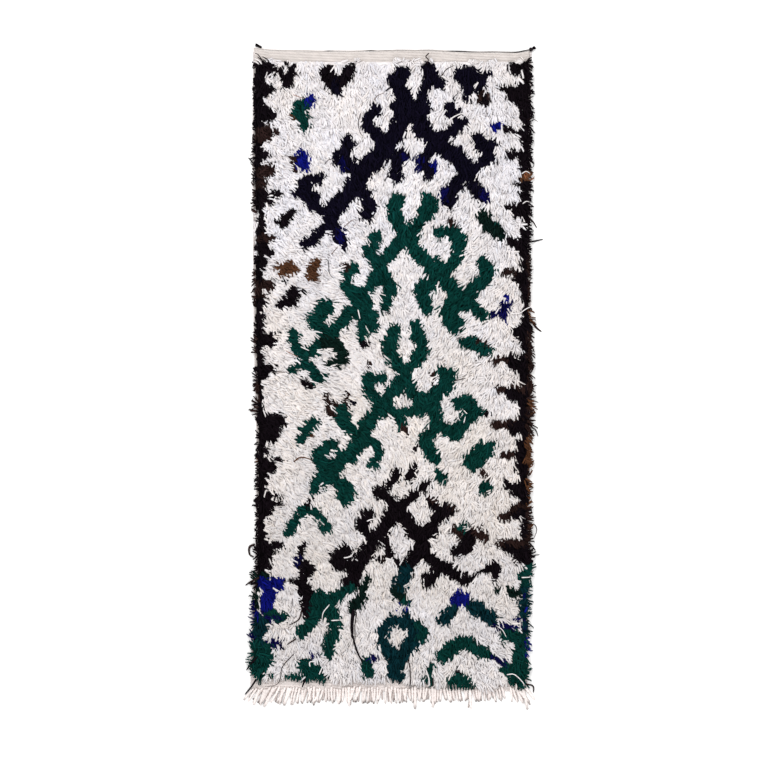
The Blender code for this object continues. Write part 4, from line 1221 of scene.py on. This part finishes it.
def fringe_ends():
    """Where each warp end of the fringe leaves the hem, its length and its lean."""
    left, right = eased(LEFT_EDGE, HEM_Y) + 0.004, eased(RIGHT_EDGE, HEM_Y) - 0.004
    count = int((right - left) / FRINGE_PITCH)
    x = left + (right - left) * (np.arange(count) + 0.5) / count
    for bare_x, width in BARE_PLACES:
        x = x[np.abs(x - bare_x) >= width / 2.0]
    length = FRINGE_LENGTH * eased(FRINGE_REACH, x)
    length = length + FRINGE_LENGTH_SPREAD * rng.uniform(-1.0, 1.0, len(x))
    for long_x, long_length in LONG_STRANDS:
        length[np.argmin(np.abs(x - long_x))] = long_length
    return x, length, np.radians(eased(FRINGE_LEAN, x))


def twisted_ends(x, start, length, lean, radius, lift, shade):
    """Pairs of yarns twisted together, from the hem to a frayed tip on the floor."""
    pair = np.repeat(np.arange(len(x)), 2)
    share = np.append(np.linspace(0.0, 0.96, FRINGE_STEPS - 1), 1.0)
    steps = np.diff(share, prepend=0.0)[:, None]
    bend = rng.normal(0.0, FRINGE_BEND, len(x))[pair][:, None] * share
    angle = (lean + FRINGE_SCATTER * rng.normal(0.0, 1.0, len(x)))[pair][:, None] + bend
    way = np.stack([np.sin(angle), -np.cos(angle)], axis=-1)
    start = start + rng.uniform(*FRINGE_STARTS, len(x))[pair]
    plan = np.cumsum(way * steps * (length[pair] + start)[:, None, None], axis=1)
    plan = plan + np.stack([x[pair], HEM_Y + start], axis=-1)[:, None]
    side = np.stack([way[..., 1], -way[..., 0]], axis=-1)
    turn = (np.arange(len(pair)) % 2)[:, None] * math.pi + 2.0 * math.pi * FRINGE_TURNS * share
    turn = turn + rng.uniform(0.0, math.pi, len(x))[pair][:, None]
    radius = np.broadcast_to(radius, x.shape)[pair][:, None]
    offset = radius * 0.75 * (1.0 - 0.4 * share)
    plan = plan + side * (np.cos(turn) * offset)[..., None]
    on_cloth = np.clip((plan[..., 1] - HEM_Y) / 0.004 + 1.0, 0.0, 1.0)
    z = radius * 1.34 + lift + np.sin(turn) * offset * 0.45 + on_cloth * (GROUND_THICKNESS + 0.001)
    paths = np.concatenate([plan, z[..., None]], axis=-1)
    radii = radius * (1.0 - 0.25 * share[:-1] ** 4)
    wear = np.clip((share - FRINGE_WEAR_FROM) / 0.2, 0.0, 1.0)[None, :, None]
    wear = wear * rng.uniform(0.05, 1.0, len(x))[pair][:, None, None]
    colours = linear(shade) * (1.0 - wear) + linear(FRINGE_TIP) * wear
    colours = colours * (1.0 + 0.05 * rng.normal(0.0, 1.0, (len(pair), 1, 1)))
    return tubes(paths, radii, colours, 5)


def make_fringe(material):
    """Warp ends side by side, over thinner ones between and below them, coloured grey as painted
    shadow between the strands.
    """
    x, length, lean = fringe_ends()
    between = x + FRINGE_PITCH / 2.0
    stout = (length > STOUT_LENGTH) | (x > STOUT_X)
    radius = FRINGE_RADIUS * np.where(stout, STOUT_GIRTH, rng.uniform(0.88, 1.12, len(x)))
    parts = [
        # The lower strands' grey is painted shadow between the upper strands
        twisted_ends(between, UNDER_START, length * rng.uniform(*UNDER_LENGTHS, len(x)), lean,
                     UNDER_RADIUS, 0.0, FRINGE_PAINTED_SHADOW),
        twisted_ends(x, FRINGE_START, length, lean, radius, 0.0006, FRINGE_WOOL),
    ]
    return add_piece("warp_fringe", joined(parts), material, "fringe_wool", "fringe_bottom")


def smooth_route(points, steps):
    """Points along a Catmull-Rom curve through the given ones."""
    points = np.array(points, float)
    ends = np.concatenate([[2 * points[0] - points[1]], points, [2 * points[-1] - points[-2]]])
    at = np.linspace(0.0, len(points) - 1.0, steps)
    i = np.minimum(at.astype(int), len(points) - 2)
    t = (at - i)[:, None]
    a, b, c, d = ends[i], ends[i + 1], ends[i + 2], ends[i + 3]
    return 0.5 * (2 * b + (c - a) * t + (2 * a - 5 * b + 4 * c - d) * t ** 2
                  + (3 * b - a - 3 * c + d) * t ** 3)


def make_strays(material):
    """Loose yarns on the pile, and those that hang over its rim."""
    parts = []
    for dye, thickness, *route in STRAY_YARNS:
        plan = smooth_route([from_chart(*point) for point in route], STRAY_STEPS)
        outside = np.maximum(past_edge(plan), HEM_Y + 0.02 - plan[:, 1])
        inside, fall = STRAY_SLOPE
        z = STRAY_HEIGHT - STRAY_FALL * np.clip((outside + inside) / fall, 0.0, 1.0)
        z[:2] = z[:2] - STRAY_ROOTS
        path = np.concatenate([plan, z[:, None]], axis=-1)[None]
        share = np.linspace(0.0, 1.0, STRAY_STEPS - 1)
        radii = thickness / 2.0 * (1.0 - STRAY_TAPER * share ** 2)[None]
        parts.append(tubes(path, radii, plain((1, STRAY_STEPS), DYES[dye]), 4))
    return add_piece("loose_yarns", joined(parts), material, "pile_wool")


def make_cord(material):
    """The dark cord twined from two yarns along the top edge of the heading."""
    across = np.linspace(0.0, 1.0, CORD_STEPS)
    x, y = ground_place(across, 1.0)
    y = y + CORD_RADIUS + CORD_STANDS + CORD_SWAY * np.sin(2.0 * math.pi * x / 0.11)
    strands = []
    for ply in (0.0, math.pi):
        turn = ply + 2.0 * math.pi * x / CORD_PITCH
        offset = CORD_RADIUS * 0.5
        strands.append(np.stack([x, y + offset * np.cos(turn),
                                 CORD_RADIUS + 0.0003 + offset * np.sin(turn)], axis=-1))
    paths = np.array(strands)
    radii = np.full((2, len(x) - 1), CORD_RADIUS * 0.62)
    dark = eased(CORD_SHOWS, x) * (0.80 + 0.20 * np.sin(61.0 * x))
    colours = linear(CORD_WOOL) * dark[:, None] + linear(HEADING_WOOL) * (1.0 - dark[:, None])
    part = tubes(paths, radii, np.stack([colours, colours]), 5)
    return add_piece("twined_cord", part, material, "dark_yarn", "edge_cord_top")


def make_knot(knot, material):
    """A cord's end tied off: three turns of yarn round a brush of loose ends."""
    lean = math.radians(knot.degrees)
    forward = np.array([math.cos(lean), math.sin(lean), 0.0])
    sideways = np.array([-forward[1], forward[0], 0.0])
    start = np.array([knot.x, knot.y, knot.radius])
    share = np.linspace(0.0, 1.0, BRUSH_STEPS)
    brush = []
    for i in range(BRUSH_ENDS):
        spread = rng.normal(0.0, 0.36, 2) * knot.radius
        fan = rng.normal(0.0, 0.32) * knot.radius
        reach = knot.length * rng.uniform(0.75, 1.02)
        waist = 0.35 + 1.3 * np.abs(share - 0.25)
        path = start + forward * (reach * share)[:, None]
        path = path + sideways * (spread[0] * waist + fan * share ** 2)[:, None]
        path[:, 2] = path[:, 2] * (1.0 - 0.45 * share) + spread[1] * waist
        path[:, 2] = np.maximum(path[:, 2], knot.radius * 0.25)
        brush.append(path)
    radii = np.full((BRUSH_ENDS, BRUSH_STEPS - 1), knot.radius * 0.24) * (1.0 - 0.4 * share[:-1])
    colours = plain((BRUSH_ENDS, BRUSH_STEPS), DYES["black"], 0.25)
    ends = tubes(np.array(brush), radii, colours, 4)
    turns = np.linspace(0.0, 2.0 * math.pi * WRAPS, WRAP_STEPS)
    ring = start + forward * (knot.length * (0.12 + 0.26 * turns / turns[-1]))[:, None]
    ring = ring + sideways * (knot.radius * 0.66 * np.cos(turns))[:, None]
    ring[:, 2] = knot.radius * (1.0 + 0.62 * np.sin(turns))
    across = np.broadcast_to(forward, (1, WRAP_STEPS, 3))
    wraps = tubes(ring[None], np.full((1, WRAP_STEPS - 1), knot.radius * 0.26),
                  plain((1, WRAP_STEPS), CORD_WOOL), 5, across)
    return add_piece(knot.node.replace("corner", "tied"), joined([ends, wraps]), material,
                     "dark_yarn", knot.node)


def make_floor():
    """A plain pale floor just below the rug."""
    mesh = bpy.data.meshes.new("floor")
    corners = [(x * FLOOR_REACH, y * FLOOR_REACH, 0) for x, y in ((-1, -1), (1, -1), (1, 1), (-1, 1))]
    mesh.from_pydata(corners, [], [(0, 1, 2, 3)])
    floor = bpy.data.objects.new("floor", mesh)
    floor.location.z = FLOOR_LEVEL
    bpy.context.scene.collection.objects.link(floor)
    paper = bpy.data.materials.new("pale_paper")
    paper.use_nodes = True
    shader = paper.node_tree.nodes["Principled BSDF"]
    shader.inputs["Base Color"].default_value = PAPER
    shader.inputs["Roughness"].default_value = 1.0
    shader.inputs["Specular IOR Level"].default_value = 0.0
    mesh.materials.append(paper)


def make_light():
    """Soft light from above and all round."""
    world = bpy.data.worlds.new("studio")
    world.use_nodes = True
    world.node_tree.nodes["Background"].inputs["Color"].default_value = SKY
    world.node_tree.nodes["Background"].inputs["Strength"].default_value = SKY_STRENGTH
    bpy.context.scene.world = world
    for name, place, size, watts in LAMPS:
        light = bpy.data.lights.new(name, "AREA")
        light.size = size
        light.energy = watts
        lamp = bpy.data.objects.new(name, light)
        lamp.location = place
        lamp.rotation_euler = (-Vector(place)).to_track_quat("-Z", "Y").to_euler()
        bpy.context.scene.collection.objects.link(lamp)


def make_camera():
    """The camera above the middle of the rug's photograph."""
    lens = bpy.data.cameras.new("camera")
    lens.lens = LENS
    lens.sensor_width = SENSOR
    lens.clip_end = 100.0
    camera = bpy.data.objects.new("camera", lens)
    camera.location = CAMERA_PLACE
    bpy.context.scene.collection.objects.link(camera)
    bpy.context.scene.camera = camera
    bpy.context.scene.view_settings.view_transform = "Standard"


shag_wool = wool_material("shag_wool", 0.10, fibre_scale=900.0, fibre_height=0.0010, roughness=0.95)
cloth_wool = wool_material("cloth_wool", 0.05, fibre_scale=1100.0, fibre_height=0.0008)
yarn_wool = wool_material("yarn_wool", 0.12, fibre_scale=1100.0, fibre_height=0.0008)

shag = make_shag(shag_wool)
bed = make_bed(shag_wool)
strays = make_strays(yarn_wool)
fringe = make_fringe(yarn_wool)
cord = make_cord(yarn_wool)
knots = [make_knot(knot, yarn_wool) for knot in CORNER_KNOTS]
ground = make_ground(cloth_wool)
make_floor()
make_light()
make_camera()
